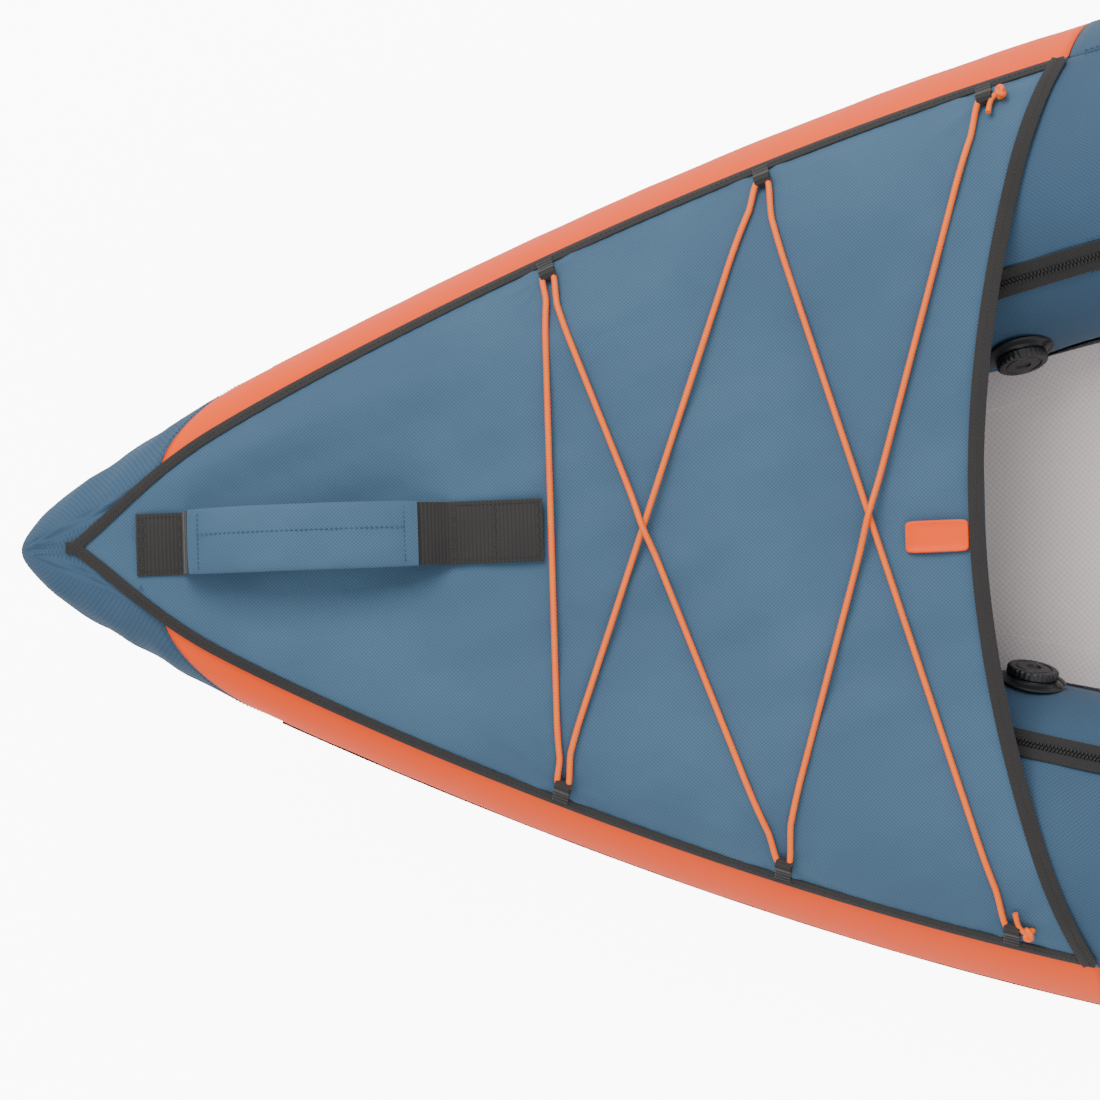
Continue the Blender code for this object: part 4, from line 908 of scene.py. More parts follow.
@dataclass
class Deck:
    """One stretched deck and the black tape round its edge."""

    name: str
    end: int
    front: float = 0.045
    corner: float = 0.854
    sweep_depth: float = 0.071
    cloth_top: float = 0.0018
    tape_width: float = 0.0095
    rear_tape_width: float = 0.013
    tape_thick: float = 0.0016
    loops: tuple[float, ...] = (0.435, 0.609, 0.788)

    def rear(self, share: Array) -> Array:
        """Distance of the rear edge: furthest aft at the corners, swept towards the nose in the middle."""
        return self.corner - self.sweep_depth * (1 - share**2)

    def height(self, d: Array, across: Array, half: Array) -> Array:
        """Relief of the stretched cloth.

        It sags a little between the tubes, ripples softly on the slant, gathers in short puckers along its edge,
        and creases run out of each cord loop, which pulls at it.

        Args:
            d: distance from the nose.
            across: signed length from the middle.
            half: length from the middle to the edge.

        Returns:
            The height over the tubes' skin.
        """
        rim = half - np.abs(across)
        inside = smoothstep(0.0, 0.05, rim)
        sag = -0.0035 * smoothstep(0.02, 0.16,
            half - 0.06) * np.exp(-((across / np.maximum(half * 0.45, 0.01)) ** 2))
        folds = ripples(across * 1.3 + d * 0.7, d * 1.3 - across * 0.5, 0.085, 3 + self.end,
            1.6) * 0.0012 * inside
        fine = ripples(across, d, 0.028, 8 + self.end, 1.0) * 0.00022 * inside
        pucker = np.cos(d * TAU / 0.013 + 2 * ripples(across, d, 0.1, 12)) * 0.00035 * np.exp(-rim / 0.010)
        pull = 0.0
        for number, place in enumerate(self.loops):
            for sign in (1, -1):
                dx, dy = d - place, np.abs(across - sign * (half - 0.022))
                reach = np.sqrt(dx**2 + dy**2)
                turn = np.arctan2(dx, dy)
                near = np.exp(-reach / 0.045) * smoothstep(0.004, 0.018, reach) * (sign * across > 0)
                pull = pull + np.cos(turn * 7 + number * 1.3 + sign) * 0.0016 * near
        relief = folds + fine + pull
        on_tube = smoothstep(0.0, 0.03, np.abs(across) - half * 0.5)
        return self.cloth_top + sag + relief - 0.85 * on_tube * np.minimum(relief, 0) + pucker

    def cloth(self) -> None:
        """The deck's cloth, on a grid of shares along and across it."""
        share = np.linspace(-1, 1, 181)[None]
        t = np.linspace(0, 1, 240)[:, None]
        d = self.front + (self.rear(share) - self.front) * t
        x = end_x(self.end, d)
        half = LINES.deck_half(x)
        across = share * half
        points = LINES.deck(x, across, self.height(d, across, half))
        uv = np.stack([np.broadcast_to(across, d.shape), d], -1)
        name = f"{self.name}_deck"
        made = Piece(name).grid(points, uv, np.broadcast_to([0.0, 0.0, 1.0], points.shape)).build(
            DECK_CLOTH, "hull", "deck_textile", (name,), 0.001, closed=False)

    def strip(self, piece: Piece, thread: Piece, d: Array, across: Array, width: float,
            lift: float) -> None:
        """Lays one length of tape on the deck, with a row of thread along its middle.

        Args:
            piece: takes the tape.
            thread: takes the stitches.
            d: distances of its middle line.
            across: signed lengths of its middle line from the deck's middle.
            width: of the tape.
            lift: of its middle over the cloth.
        """
        line = LINES.deck(end_x(self.end, d), across, lift)
        x, centre_y, centre_z = line[:, 0], *LINES.section(line[:, 0])[1:3]
        hub = np.stack([x, np.clip(line[:, 1], -centre_y, centre_y), centre_z], -1)
        up = unit(line - hub)
        heading = unit(np.gradient(line, axis=0))
        piece.grid(*sweep(line, np.cross(up, heading), flat_profile(width, self.tape_thick)))
        stitch_row(thread, line + up * (self.tape_thick / 2 + 0.0001), up, 0.0042, 0.0032, 0.0006)

    def binding(self) -> None:
        """The tape round the deck: one length along each side and a wider one along the rear edge."""
        tape, thread = Piece(f"{self.name}_deck_binding"), Piece(f"{self.name}_binding_stitching")
        lift = self.cloth_top + self.tape_thick / 2 + 0.0002
        for sign in (1, -1):
            t = np.linspace(0, 1, 220) ** 1.4
            d = self.front + 0.001 + (self.corner - 0.003 - self.front) * t
            across = sign * np.maximum(LINES.deck_half(end_x(self.end, d)) - self.tape_width / 2, 0.0)
            self.strip(tape, thread, d, across, self.tape_width, lift)
        share = np.linspace(-0.995, 0.995, 160)
        d = self.rear(share) - self.rear_tape_width / 2 + 0.001
        across = share * (LINES.deck_half(end_x(self.end, d)) - 0.001)
        self.strip(tape, thread, d, across, self.rear_tape_width, lift + 0.0009)
        tape.build(TAPE, "hull", "webbing", (f"{self.name}_deck_binding",))
        thread.build(THREAD_BLACK, "hull", "webbing")

    def build(self) -> None:
        """Builds the cloth and its binding."""
        self.cloth()
        self.binding()


@dataclass
class Lacing:
    """The elastic cord on the bow deck, its six loops and its two end knots."""

    distances: tuple[float, ...] = (0.435, 0.609, 0.788)
    inset: float = 0.0098
    reach: float = 0.0150
    hole: float = 0.0036
    wall: float = 0.0013
    width: float = 0.013
    cord_radius: float = 0.0025
    cloth_top: float = 0.0018
    route: tuple = ((3, -1), (2, 1), (1, -1), (1, 1), (2, -1), (3, 1))
    towards_bow: tuple = (True, True, True, False, False, False)
    lifts: tuple = (0.0055, 0.0055, 0.0, 0.0, 0.0)

    def loop_frame(self, number: int, side: int) -> Matrix:
        """Where a loop is sewn down: X inward across the deck, Y out of the cloth, Z along the edge."""
        x = end_x(1, self.distances[number - 1])
        edge = np.stack([LINES.deck(x + s, side * (LINES.deck_half(x + s) - self.inset),
            0) for s in (-0.01, 0.01)])
        forward = edge[1] - edge[0]
        seat = LINES.deck_frame(x, side * (LINES.deck_half(x) - self.inset), self.cloth_top + 0.0006)
        inward = np.cross(forward, np.array(seat.col[2].xyz)) * side
        return seat_of(np.array(seat.translation), inward, forward * -side)

    def loops(self) -> None:
        """Six folded webbing loops, each a band carried round its eye and back onto itself."""
        middle = self.hole + self.wall
        turn = np.radians(np.linspace(-90, 170, 22))
        eye = np.stack([self.reach + (self.hole + self.wall / 2) * np.cos(turn),
                        middle + (self.hole + self.wall / 2) * np.sin(turn)], -1)
        start = np.array([[-0.004, self.wall / 2], [0.004, self.wall / 2], [0.010, self.wall / 2]])
        back = np.array([[0.0085, 2.5 * self.wall], [0.004, 1.6 * self.wall], [-0.004, 1.55 * self.wall]])
        line = rounded(np.concatenate([start, eye, back]), 1)
        for number in (1, 2, 3):
            for name, side in SIDES.items():
                seat = np.array(self.loop_frame(number, side))
                path = line[:, :1] * seat[:3, 0] + line[:, 1:] * seat[:3, 1] + seat[:3, 3]
                label = f"cord_loop_{number}_{name}"
                Piece(label).grid(*sweep(path, seat[:3, 2], flat_profile(self.width, self.wall, 3))).build(
                    WEBBING, "hull", "webbing", (label,))

    def centreline(self) -> tuple[Array, list[Matrix]]:
        """The cord's way from knot to knot.

        A leg is a straight line over the unrolled deck from one eye to the next, laid on the cloth and lifted by a
        bell curve where it crosses the leg below. At an eye the cord runs along the deck's edge.

        Returns:
            The points, and the seat of each end knot.
        """
        half, eye = self.width / 2, self.hole + self.wall
        lie = self.cloth_top + self.cord_radius + 0.0009
        points, knots, eyes = [], [], []
        for number, side in self.route:
            seat = self.loop_frame(number, side)
            place = seat @ Vector((self.reach, eye, 0))
            eyes.append((seat, place.x, side * (LINES.deck_half(place.x) - self.inset - self.reach)))
        for i, (seat, x, across) in enumerate(eyes):
            leave = -self.route[i][1] if self.towards_bow[i] else self.route[i][1]
            first, last = i == 0, i == len(eyes) - 1
            for shift in (-leave, 0, leave):
                points.append(np.array(seat @ Vector((self.reach, eye, shift * (half - 0.001)))))
            if first or last:
                sign = -leave if first else leave
                knots.append(seat @ Matrix.Translation((self.reach, eye, sign * (half + 0.0072))))
            if last:
                break
            t = np.linspace(0.05, 0.95, 90)
            bell = np.exp(-(((t - abs(across) / (abs(across) + abs(eyes[i + 1][2]))) / 0.035) ** 2))
            stop = eyes[i + 1]
            leg = LINES.deck(x + (stop[1] - x) * t, across + (stop[2] - across) * t,
                lie + self.lifts[i] * bell)
            points += list(leg)
        return rounded(np.array(points), 2), knots

    def cord(self) -> None:
        """The cord as a braided tube, with an overhand knot at each end."""
        line, knots = self.centreline()
        steps = np.arange(0, lengths(line)[-1], 0.002)
        line = along(line, line, steps)
        heading = unit(np.gradient(line, axis=0))
        side = np.cross(heading, [0.0, 0.0, 1.0])
        tube, uv = sweep(line, side, round_profile(self.cord_radius))
        made = Piece("deck_cord").grid(tube, uv).build(CORD, "hull", "cord", ("deck_cord",))
        for name, seat in zip(("starboard", "port"), knots):
            turn = np.linspace(0, TAU, 97)[:-1]
            bow = np.stack([np.sin(turn) + 2 * np.sin(2 * turn), np.cos(turn) - 2 * np.cos(2 * turn),
                -np.sin(3 * turn)], -1)
            bow = bow * np.array([0.00155, 0.0013, 0.0021])
            place = np.array(seat)
            path = bow @ place[:3, :3].T + place[:3, 3]
            knot = Piece(f"cord_knot_{name}").grid(*sweep(path, np.array(place[:3, 1]),
                round_profile(0.0022, 10), True))
            way = 1 if name == "port" else -1
            tail = rounded(np.array([[0, 0, 0], [0.001, 0.0, -0.006 * way], [0.006, -0.001, -0.010 * way],
                [0.016, -0.0022, -0.013 * way]]), 2)
            tail = tail @ place[:3, :3].T + place[:3, 3]
            tail = along(tail, tail, np.linspace(0, lengths(tail)[-1], 24))
            knot.grid(*sweep(tail, np.array(place[:3, 1]), round_profile(0.0022, 10)))
            knot.build(CORD, "hull", "cord", (f"cord_knot_{name}",))
        LOG.info("cord: %.3f m", lengths(line)[-1])

    def build(self) -> None:
        """Builds the loops, the cord and the knots."""
        self.loops()
        self.cord()


@dataclass
class CarryHandle:
    """A carrying handle: webbing sewn down at both ends with a folded cloth grip between."""

    name: str
    end: int
    front: float = 0.104
    front_foot: float = 0.143
    rear_foot: float = 0.357
    rear: float = 0.433
    grip_front: float = 0.153
    grip_rear: float = 0.338
    width: float = 0.050
    webbing: float = 0.0022
    end_height: float = 0.021
    crown_height: float = 0.036
    grip_thick: float = 0.011
    grip_width: float = 0.053
    cloth_top: float = 0.0018

    def line(self, d: Array, lift: Array) -> Array:
        """A line on the middle plane, lifted over the deck."""
        x = end_x(self.end, d)
        return LINES.deck(x, 0.0, 0.0) + np.stack([0 * d, 0 * d, self.cloth_top + lift], -1)

    def strap(self, piece: str, foot: tuple[float, ...], grip_end: float) -> None:
        """One end of the webbing: flat on the deck where it is sewn, then up to the grip.

        Args:
            piece: the part of the node's name for it.
            foot: distances of its free end and of where it leaves the deck.
            grip_end: distance at which it goes into the grip.
        """
        low = 0.0005 + self.webbing / 2
        toward = 1 if grip_end > foot[0] else -1
        d = np.array([foot[0], (foot[0] + foot[1]) / 2, foot[1] - 0.002 * toward, foot[1] + 0.001 * toward,
                      grip_end - 0.003 * toward, grip_end + 0.012 * toward])
        lift = np.array([low, low, low, low + 0.0012, self.end_height - 0.002, self.end_height + 0.0005])
        line = rounded(self.line(d, lift), 3)
        line = along(line, line, np.linspace(0, lengths(line)[-1], 60))
        node_name = f"{self.name}_handle_{piece}"
        made = Piece(node_name).grid(*sweep(line, np.array([0.0, 1.0, 0.0]),
            flat_profile(self.width, self.webbing))).build(
            WEBBING, None, "webbing", (node_name,))
        start, stop = self.line(np.array([foot[1]]), np.array([0.0]))[0], self.line(np.array([grip_end]),
            np.array([0.0]))[0]
        start[2] = stop[2] = 0.3
        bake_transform(made)
        self.sewing(node_name, foot)

    def sewing(self, node_name: str, foot: tuple[float, float]) -> None:
        """The box of thread that holds a strap's foot, crossed by zigzag rows.

        A zigzag is a line across the strap whose place along it is a triangle wave.
        """
        thread = Piece(node_name + "_stitching")
        near, far = sorted((foot[0] + 0.003 * np.sign(foot[1] - foot[0]),
            foot[1] - 0.003 * np.sign(foot[1] - foot[0])))
        lift = 0.0005 + self.webbing + 0.0002
        half = self.width / 2 - 0.003
        up = np.array([0.0, 0.0, 1.0])
        rows = [near, near + 0.003, far] if far - near > 0.02 else [near, far]
        for place in rows + ([near + (far - near) * 0.5] if far - near > 0.05 else []):
            y = np.linspace(-half, half, 40)
            zig = 0.0012 * (np.abs((y / 0.004) % 2 - 1) - 0.5) * 2
            line = self.line(place + zig, np.full(40, lift)) + np.stack([0 * y, y, 0 * y], -1)
            stitch_row(thread, line, up, 0.0028, 0.0026, 0.0008)
        for y in (-half, half):
            d = np.linspace(near, far, 30)
            line = self.line(d, np.full(30, lift)) + np.array([0.0, y, 0.0])
            stitch_row(thread, line, up, 0.0034, 0.0026, 0.0008)
        thread.build(THREAD_BLACK, "hull", "webbing")

    def grip(self) -> None:
        """The folded sleeve: an arch of soft flat section, thin at its ends, with a raised seam along its top.

        The section is a flattened ring whose height follows the square root of what is left of its width to the
        third power. The seam adds a narrow ridge beside the middle.
        """
        share = np.linspace(-1, 1, 90)
        middle, half = (self.grip_front + self.grip_rear) / 2, (self.grip_rear - self.grip_front) / 2
        height = self.end_height + (self.crown_height - self.end_height) * (1 - share**2)
        line = self.line(middle + half * share, height)
        turn = np.arange(48) * TAU / 48
        plump = (0.42 + 0.58 * (1 - np.abs(share) ** 6))[:, None]
        wide = self.grip_width / 2 * (1 - 0.03 * np.abs(share) ** 4)[:, None]
        across = np.sign(np.cos(turn)) * np.abs(np.cos(turn)) ** 0.7 * wide
        thick = np.sign(np.sin(turn)) * np.abs(np.sin(turn)) ** 0.85 * self.grip_thick / 2 * plump
        upper = np.sin(turn) > 0
        v = lengths(line)[:, None]
        ridge = 0.0011 * np.exp(-(((across + 0.003) / 0.0016) ** 2)) * upper
        dent = -0.0007 * (np.exp(-(((across + 0.0062) / 0.0016) ** 2)) + np.exp(-(((across - 0.001) / 0.0016) ** 2))) * upper
        soft = ripples(across, v, 0.03, 21 + self.end) * 0.00045
        cuff = -0.0006 * np.exp(-(((np.abs(share)[:, None] - 0.9) / 0.012) ** 2)) * np.sign(np.sin(turn))
        profile = np.stack([across, thick + ridge + dent + soft * plump + cuff], -1)
        name = f"{self.name}_handle_grip"
        body = f"{self.name}_handle"
        Piece(name).grid(*sweep(line, np.array([0.0, self.end, 0.0]) * self.end, profile)).build(
            DECK_CLOTH, body, "blue_textile", (name,))
        thread = Piece(name + "_stitching")
        up = np.array([0.0, 0.0, 1.0])
        top = np.array([0.0, -0.0052 * 1.0, self.grip_thick / 2 + 0.0004])
        inner = slice(4, 86)
        stitch_row(thread, line[inner] + top, up, 0.004, 0.003, 0.0008)
        for place in (-0.9, 0.9):
            y = np.linspace(-self.grip_width / 2 + 0.004, self.grip_width / 2 - 0.004, 30)
            spot = along(line, line, np.full(30, lengths(line)[-1] * (place + 1) / 2))
            rise = self.grip_thick / 2 * (0.42 + 0.58 * (1 - 0.9**6)) * np.sqrt(np.clip(1 - (y / (self.grip_width / 2)) ** 4, 0, 1))
            stitch_row(thread, spot + np.stack([0 * y, y, rise], -1), up, 0.0038, 0.003, 0.0007)
        thread.build(THREAD_BLUE, body, "blue_textile")

    def build(self) -> None:
        """Builds both straps and the grip."""
        self.strap("front_strap", (self.front, self.front_foot), self.grip_front)
        self.strap("rear_strap", (self.rear, self.rear_foot), self.grip_rear)
        self.grip()


@dataclass
class Badge:
    """A bare moulded badge beside the bow deck's rear edge."""

    distance: float = 0.7455
    offset: float = 0.0175
    length: float = 0.050
    width: float = 0.025

    def build(self) -> None:
        """Builds it as nested rounded outlines: a raised rim round a flat field.

        An outline's corner is a power curve: each coordinate is the signed square root of the cosine or sine to
        the two fifths, which gives a box with rounded corners.
        """
        seat = np.array(LINES.deck_frame(end_x(1, self.distance), self.offset, 0.0006))
        turn = np.linspace(0, TAU, 73)
        shape = np.stack([np.sign(f) * np.abs(f) ** 0.22 for f in (np.cos(turn), np.sin(turn))], -1)
        rings = [(1.0, 0.0), (1.0, 0.0012), (0.985, 0.0019), (0.94, 0.0021), (0.90, 0.0020),
            (0.87, 0.0015), (0.5, 0.0015), (0.0, 0.0015)]
        rings = [(0.0, 0.0)] + rings
        grid = []
        for share, height in rings:
            flat = shape * np.array([self.length / 2 - (1 - share) * 0.02,
                self.width / 2 - (1 - share) * 0.02]) if share > 0.6 else shape * np.array([self.length / 2, self.width / 2]) * share
            grid.append(flat[:, :1] * seat[:3, 0] + flat[:, 1:] * seat[:3, 1] + seat[:3, 3] + seat[:3,
                2] * height)
        Piece("deck_badge").grid(np.array(grid)).build(ORANGE_PVC, "hull", "orange_pvc", ("deck_badge",),
            sharp=60)


@dataclass
class Zip:
    """A coil zip along a tube cover, with its slider and puller."""

    name: str
    side: int
    start: float = 0.78
    girth: float = -1.2
    width: float = 0.025
    slider_x: float = 0.300

    def build(self) -> None:
        """Builds the tape, the coil's teeth and the slider.

        The teeth are short beads across the tape, one for each 3 mm, from two staggered rows.
        """
        x = np.linspace(end_x(1, self.start), end_x(-1, self.start), 420)
        line = LINES.skin(x, self.side, self.girth, 0.0012)
        _, centre_y, centre_z, _ = LINES.section(x)
        out = unit(line - np.stack([x, self.side * centre_y, centre_z], -1))
        heading = unit(np.gradient(line, axis=0))
        side = np.cross(out, heading)
        name = f"zip_{self.name}"
        Piece(name).grid(*sweep(line, side, flat_profile(self.width, 0.0012, 3))).build(TAPE, "hull",
            "webbing", (name,))
        coil = Piece(name + "_coil")
        places = np.arange(0.004, lengths(line)[-1] - 0.004, 0.003)
        for shift, stagger in ((-0.0016, 0.0), (0.0016, 0.0015)):
            spot = along(line, line + side * shift + out * 0.0010, places + stagger)
            ahead = along(line, side, places + stagger)
            up = along(line, out, places + stagger)
            zigzag = np.stack([spot - ahead * 0.0017, spot + ahead * 0.0017], 1)
            self.beads(coil, zigzag, up)
        coil.build(COIL, "hull", "webbing")
        self.slider()

    @staticmethod
    def beads(piece: Piece, ends: Array, up: Array) -> None:
        """Adds one low bead between each pair of ends: a box with its top drawn in."""
        heading = unit(ends[:, 1] - ends[:, 0])
        side = unit(np.cross(up, heading))
        wide, high = 0.0009, 0.0013
        base = [e + side * s * wide - up * 0.0004 for e in (ends[:, 0], ends[:, 1]) for s in (-1, 1)]
        top = [e + heading * (0.0006 if k == 0 else -0.0006) + side * s * wide * 0.55 + up * high
               for k, e in enumerate((ends[:, 0], ends[:, 1])) for s in (-1, 1)]
        points = np.stack(base + top, 1)
        quads = np.array([(0, 1, 3, 2), (4, 6, 7, 5), (0, 4, 5, 1), (2, 3, 7, 6), (0, 2, 6, 4),
            (1, 5, 7, 3)])
        faces = quads[None] + 8 * np.arange(len(points))[:, None, None]
        piece.add(points.reshape(-1, 3), faces.reshape(-1, 4), np.zeros((len(points) * 8, 2)))

    def slider(self) -> None:
        """The slider's body, its bridge and the puller that lies back over the zip."""
        body = f"zip_slider_{self.name}"
        seat = LINES.frame_at(self.slider_x, self.side, self.girth, 0.0026)
        place = np.array(seat)
        piece = Piece(body)

        def laid(points: Array) -> Array:
            """Points from the slider's own frame."""
            return points @ place[:3, :3].T + place[:3, 3]

        def plate(line: Array, width: Array, thick: float) -> None:
            """A plate along a line, with a width at each of its points."""
            ring = flat_profile(1.0, 0.3, 4)
            profile = np.stack([ring[:, 0] * 1.0 * width[:, None],
                np.broadcast_to(ring[:, 1] / 0.3 * thick, (len(line), len(ring)))], -1)
            piece.grid(*sweep(laid(line), place[:3, 1], profile))

        x = np.linspace(0.0, 0.014, 12)
        plate(np.stack([x, 0 * x, 0 * x + 0.0008], -1), 0.0075 + 0.003 * (x / 0.014) ** 2, 0.0014)
        plate(np.stack([x, 0 * x, 0 * x + 0.0040], -1), 0.0070 + 0.003 * (x / 0.014) ** 2, 0.0014)
        turn = np.linspace(0, math.pi, 12)
        plate(np.stack([0.007 - 0.0042 * np.cos(turn), 0 * turn, 0.0042 + 0.0024 * np.sin(turn)], -1),
            np.full(12, 0.0024), 0.0010)
        x = np.linspace(0.009, 0.039, 22)
        pull = 0.006 + 0.0045 * smoothstep(0.012, 0.030, x)
        plate(np.stack([x, 0 * x, 0.0052 - 0.0008 * smoothstep(0.01, 0.03, x)], -1), pull, 0.0013)
        piece.build(PLASTIC, body, "plastic", (body,), sharp=50)


@dataclass
class TubeValve:
    """A two-part air valve in a tube's inner side: a body with a bore, and a ribbed cap on a tether."""

    name: str
    side: int
    distance: float = 0.797
    girth: float = -2.5
    flange: float = 0.027
    neck: float = 0.0205
    bore: float = 0.0135

    def build(self) -> None:
        """Builds the body with its membrane, and its cap, each as a profile spun round the valve's axis."""
        seat = LINES.frame_at(end_x(1, self.distance), self.side, self.girth, 0.0006)
        body = [
            (0.0, -0.012), (0.0185, -0.012), (0.0185, -0.001), (self.flange - 0.001, -0.0005),
                (self.flange, 0.0004),
            (self.flange - 0.0004, 0.0016), (self.flange - 0.003, 0.0028), (self.neck + 0.0022, 0.0031),
            (self.neck + 0.0012, 0.0036), (self.neck, 0.0046), (self.neck, 0.0058),
                (self.bore + 0.0012, 0.0060),
            (self.bore, 0.0052), (self.bore, 0.0024), (0.0112, 0.0020), (0.0044, 0.0020),
                (0.0038, 0.0030), (0.0, 0.0032),
        ]
        name = f"tube_valve_body_{self.name}"
        Piece(name).grid(revolved(body, seat, 72)).build(PLASTIC, "hull", "plastic", (name,), sharp=35)
        name = f"tube_valve_cap_{self.name}"
        cap = [
            (0.0, 0.0064), (self.neck - 0.001, 0.0064), (self.neck + 0.0004, 0.0070),
                (self.neck + 0.0004, 0.0112),
            (self.neck - 0.0008, 0.0126), (self.neck - 0.0030, 0.0130), (self.neck - 0.0052, 0.0130),
                (self.neck - 0.0058, 0.0122),
            (self.neck - 0.0066, 0.0122), (self.neck - 0.0072, 0.0129), (0.0062, 0.0131),
                (0.0056, 0.0120), (0.0, 0.0119),
        ]
        piece = Piece(name).grid(revolved(cap, seat, 120, ((3, 4), 30, 0.0009)))
        place = np.array(seat)
        line = np.array([[-0.0195, 0, 0.0082], [-0.0225, 0, 0.0080], [-0.0252, 0, 0.0066],
            [-0.0270, 0, 0.0048], [-0.0272, 0, 0.0042]])
        line = rounded(line, 2) @ place[:3, :3].T + place[:3, 3]
        piece.grid(*sweep(line, place[:3, 1], flat_profile(0.007, 0.0013, 4)))
        piece.build(PLASTIC, name, "plastic", (name,), sharp=35)


@dataclass
class FloorValve:
    """The floor's high-pressure valve: body, sprung plunger and tethered cap."""

    x: float = -0.62
    y: float = 0.10
    flange: float = 0.025
    bore: float = 0.011

    def build(self) -> None:
        """Builds the three parts, each as a profile spun round the valve's axis."""
        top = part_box("floor_valve_body")[1].z - 0.006
        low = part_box("floor_valve_body")[0].z
        seat = seat_of(np.array([self.x, self.y, top]), np.array([1.0, 0, 0]), np.array([0.0245, 0, 1.0]))
        body = [
            (self.bore, low - top + 0.001), (0.0168, low - top + 0.001), (0.0168, -0.0003),
                (self.flange - 0.0008, -0.0002),
            (self.flange, 0.0008), (self.flange - 0.0006, 0.0030), (self.flange - 0.0022, 0.0052),
                (self.flange - 0.004, 0.0058),
            (self.bore + 0.001, 0.0058), (self.bore, 0.0050), (self.bore, -0.002), (0.0090, -0.004),
                (0.0090, -0.012),
            (self.bore, -0.014), (self.bore, low - top + 0.001),
        ]
        Piece("floor_valve_body").grid(revolved(body, seat, 72, ((5,), 24, 0.0008))).build(
            PLASTIC, "hull", "plastic", ("floor_valve_body",), sharp=35)
        stem = [(0.0, -0.0058), (0.0082, -0.0058), (0.0084, -0.005), (0.0084, 0.0005), (0.0076, 0.0016),
            (0.0030, 0.0019), (0.0024, 0.0012), (0.0, 0.0012)]
        Piece("floor_valve_plunger").grid(revolved(stem, seat, 48)).build(
            ORANGE_PLASTIC, "floor_valve_plunger", "orange_plastic", ("floor_valve_plunger",), sharp=35)
        cap = [
            (0.0, 0.0064), (0.0205, 0.0064), (0.0216, 0.0070), (0.0216, 0.0104), (0.0206, 0.0118),
                (0.0180, 0.0122),
            (0.0160, 0.0121), (0.0152, 0.0114), (0.0070, 0.0114), (0.0064, 0.0122), (0.0, 0.0123),
        ]
        piece = Piece("floor_valve_cap").grid(revolved(cap, seat, 120, ((3, 4), 26, 0.0009)))
        place = np.array(seat)
        line = np.array([[-0.0205, 0, 0.0082], [-0.0235, 0, 0.0080], [-0.0262, 0, 0.0066],
            [-0.0268, 0, 0.0050], [-0.0250, 0, 0.0052]])
        line = rounded(line, 2) @ place[:3, :3].T + place[:3, 3]
        piece.grid(*sweep(line, place[:3, 1], flat_profile(0.007, 0.0013, 4)))
        piece.build(PLASTIC, "floor_valve_cap", "plastic", ("floor_valve_cap",), sharp=35)


@dataclass
class Floor:
    """The drop-stitch floor: a flat air mattress with half-round sides and a side tape."""

    height: float = 0.10
    end: float = 0.45
    base: float = 0.0018
    clearance: float = -0.003

    def build(self) -> None:
        """Builds the mattress as a flat section carried along the hull's bottom line.

        Each section is a box with half-round sides as tall as it, narrowed to the room between the tubes. Its
        base follows the underside of the tubes, and its ends are drawn in over the last 60 mm.
        """
        x = np.linspace(end_x(1, self.end), end_x(-1, self.end), 260)
        bottom = LINES.skin(x, 1, 7.0)[:, 2] + self.base
        half = LINES.skin(x, 1, -3.0)[:, 1] - self.clearance
        share = 1 - np.minimum(np.abs(x - x[0]), np.abs(x - x[-1])) / 0.06
        close = np.sqrt(np.clip(1 - np.clip(share, 0, 1) ** 2, 0, 1))
        turn = np.linspace(0, TAU, 65)[:-1]
        tall = self.height / 2 * (0.25 + 0.75 * close)
        sx = np.sign(np.cos(turn)) * np.abs(np.cos(turn)) ** 0.16
        sz = np.sign(np.sin(turn)) * np.abs(np.sin(turn)) ** 0.16
        y = half[:, None] * (0.97 + 0.03 * close[:, None]) * sx
        z = bottom[:, None] + self.height / 2 + tall[:, None] * sz
        z = z + ripples(y, x[:, None], 0.05, 61) * 0.0002
        points = np.stack([np.broadcast_to(x[:, None], y.shape), y, z], -1)
        points = np.concatenate([points, points[:, :1]], 1)
        ends = [np.repeat(points[k, :-1].mean(0)[None, None], points.shape[1], 1) for k in (0, -1)]
        grid = np.concatenate([ends[0], points, ends[1]])
        uv = np.stack([grid[..., 1] + np.where(grid[..., 2] < bottom.mean() + 0.05, 1.0, 0.0),
            grid[..., 0]], -1)
        Piece("drop_stitch_floor").grid(grid, uv).build(FLOOR_CLOTH, "hull", "floor_textile",
            ("drop_stitch_floor",), sharp=60)
        tape = Piece("floor_side_tapes")
        for sign in (1, -1):
            inner = slice(12, -12)
            line = np.stack([x, sign * (half * 0.86), bottom + self.height + 0.0009], -1)[inner]
            tape.grid(*sweep(line, np.array([0.0, 1.0, 0.0]), flat_profile(0.030, 0.0010, 3)))
        tape.build(FLOOR_CLOTH, "hull", "floor_textile")


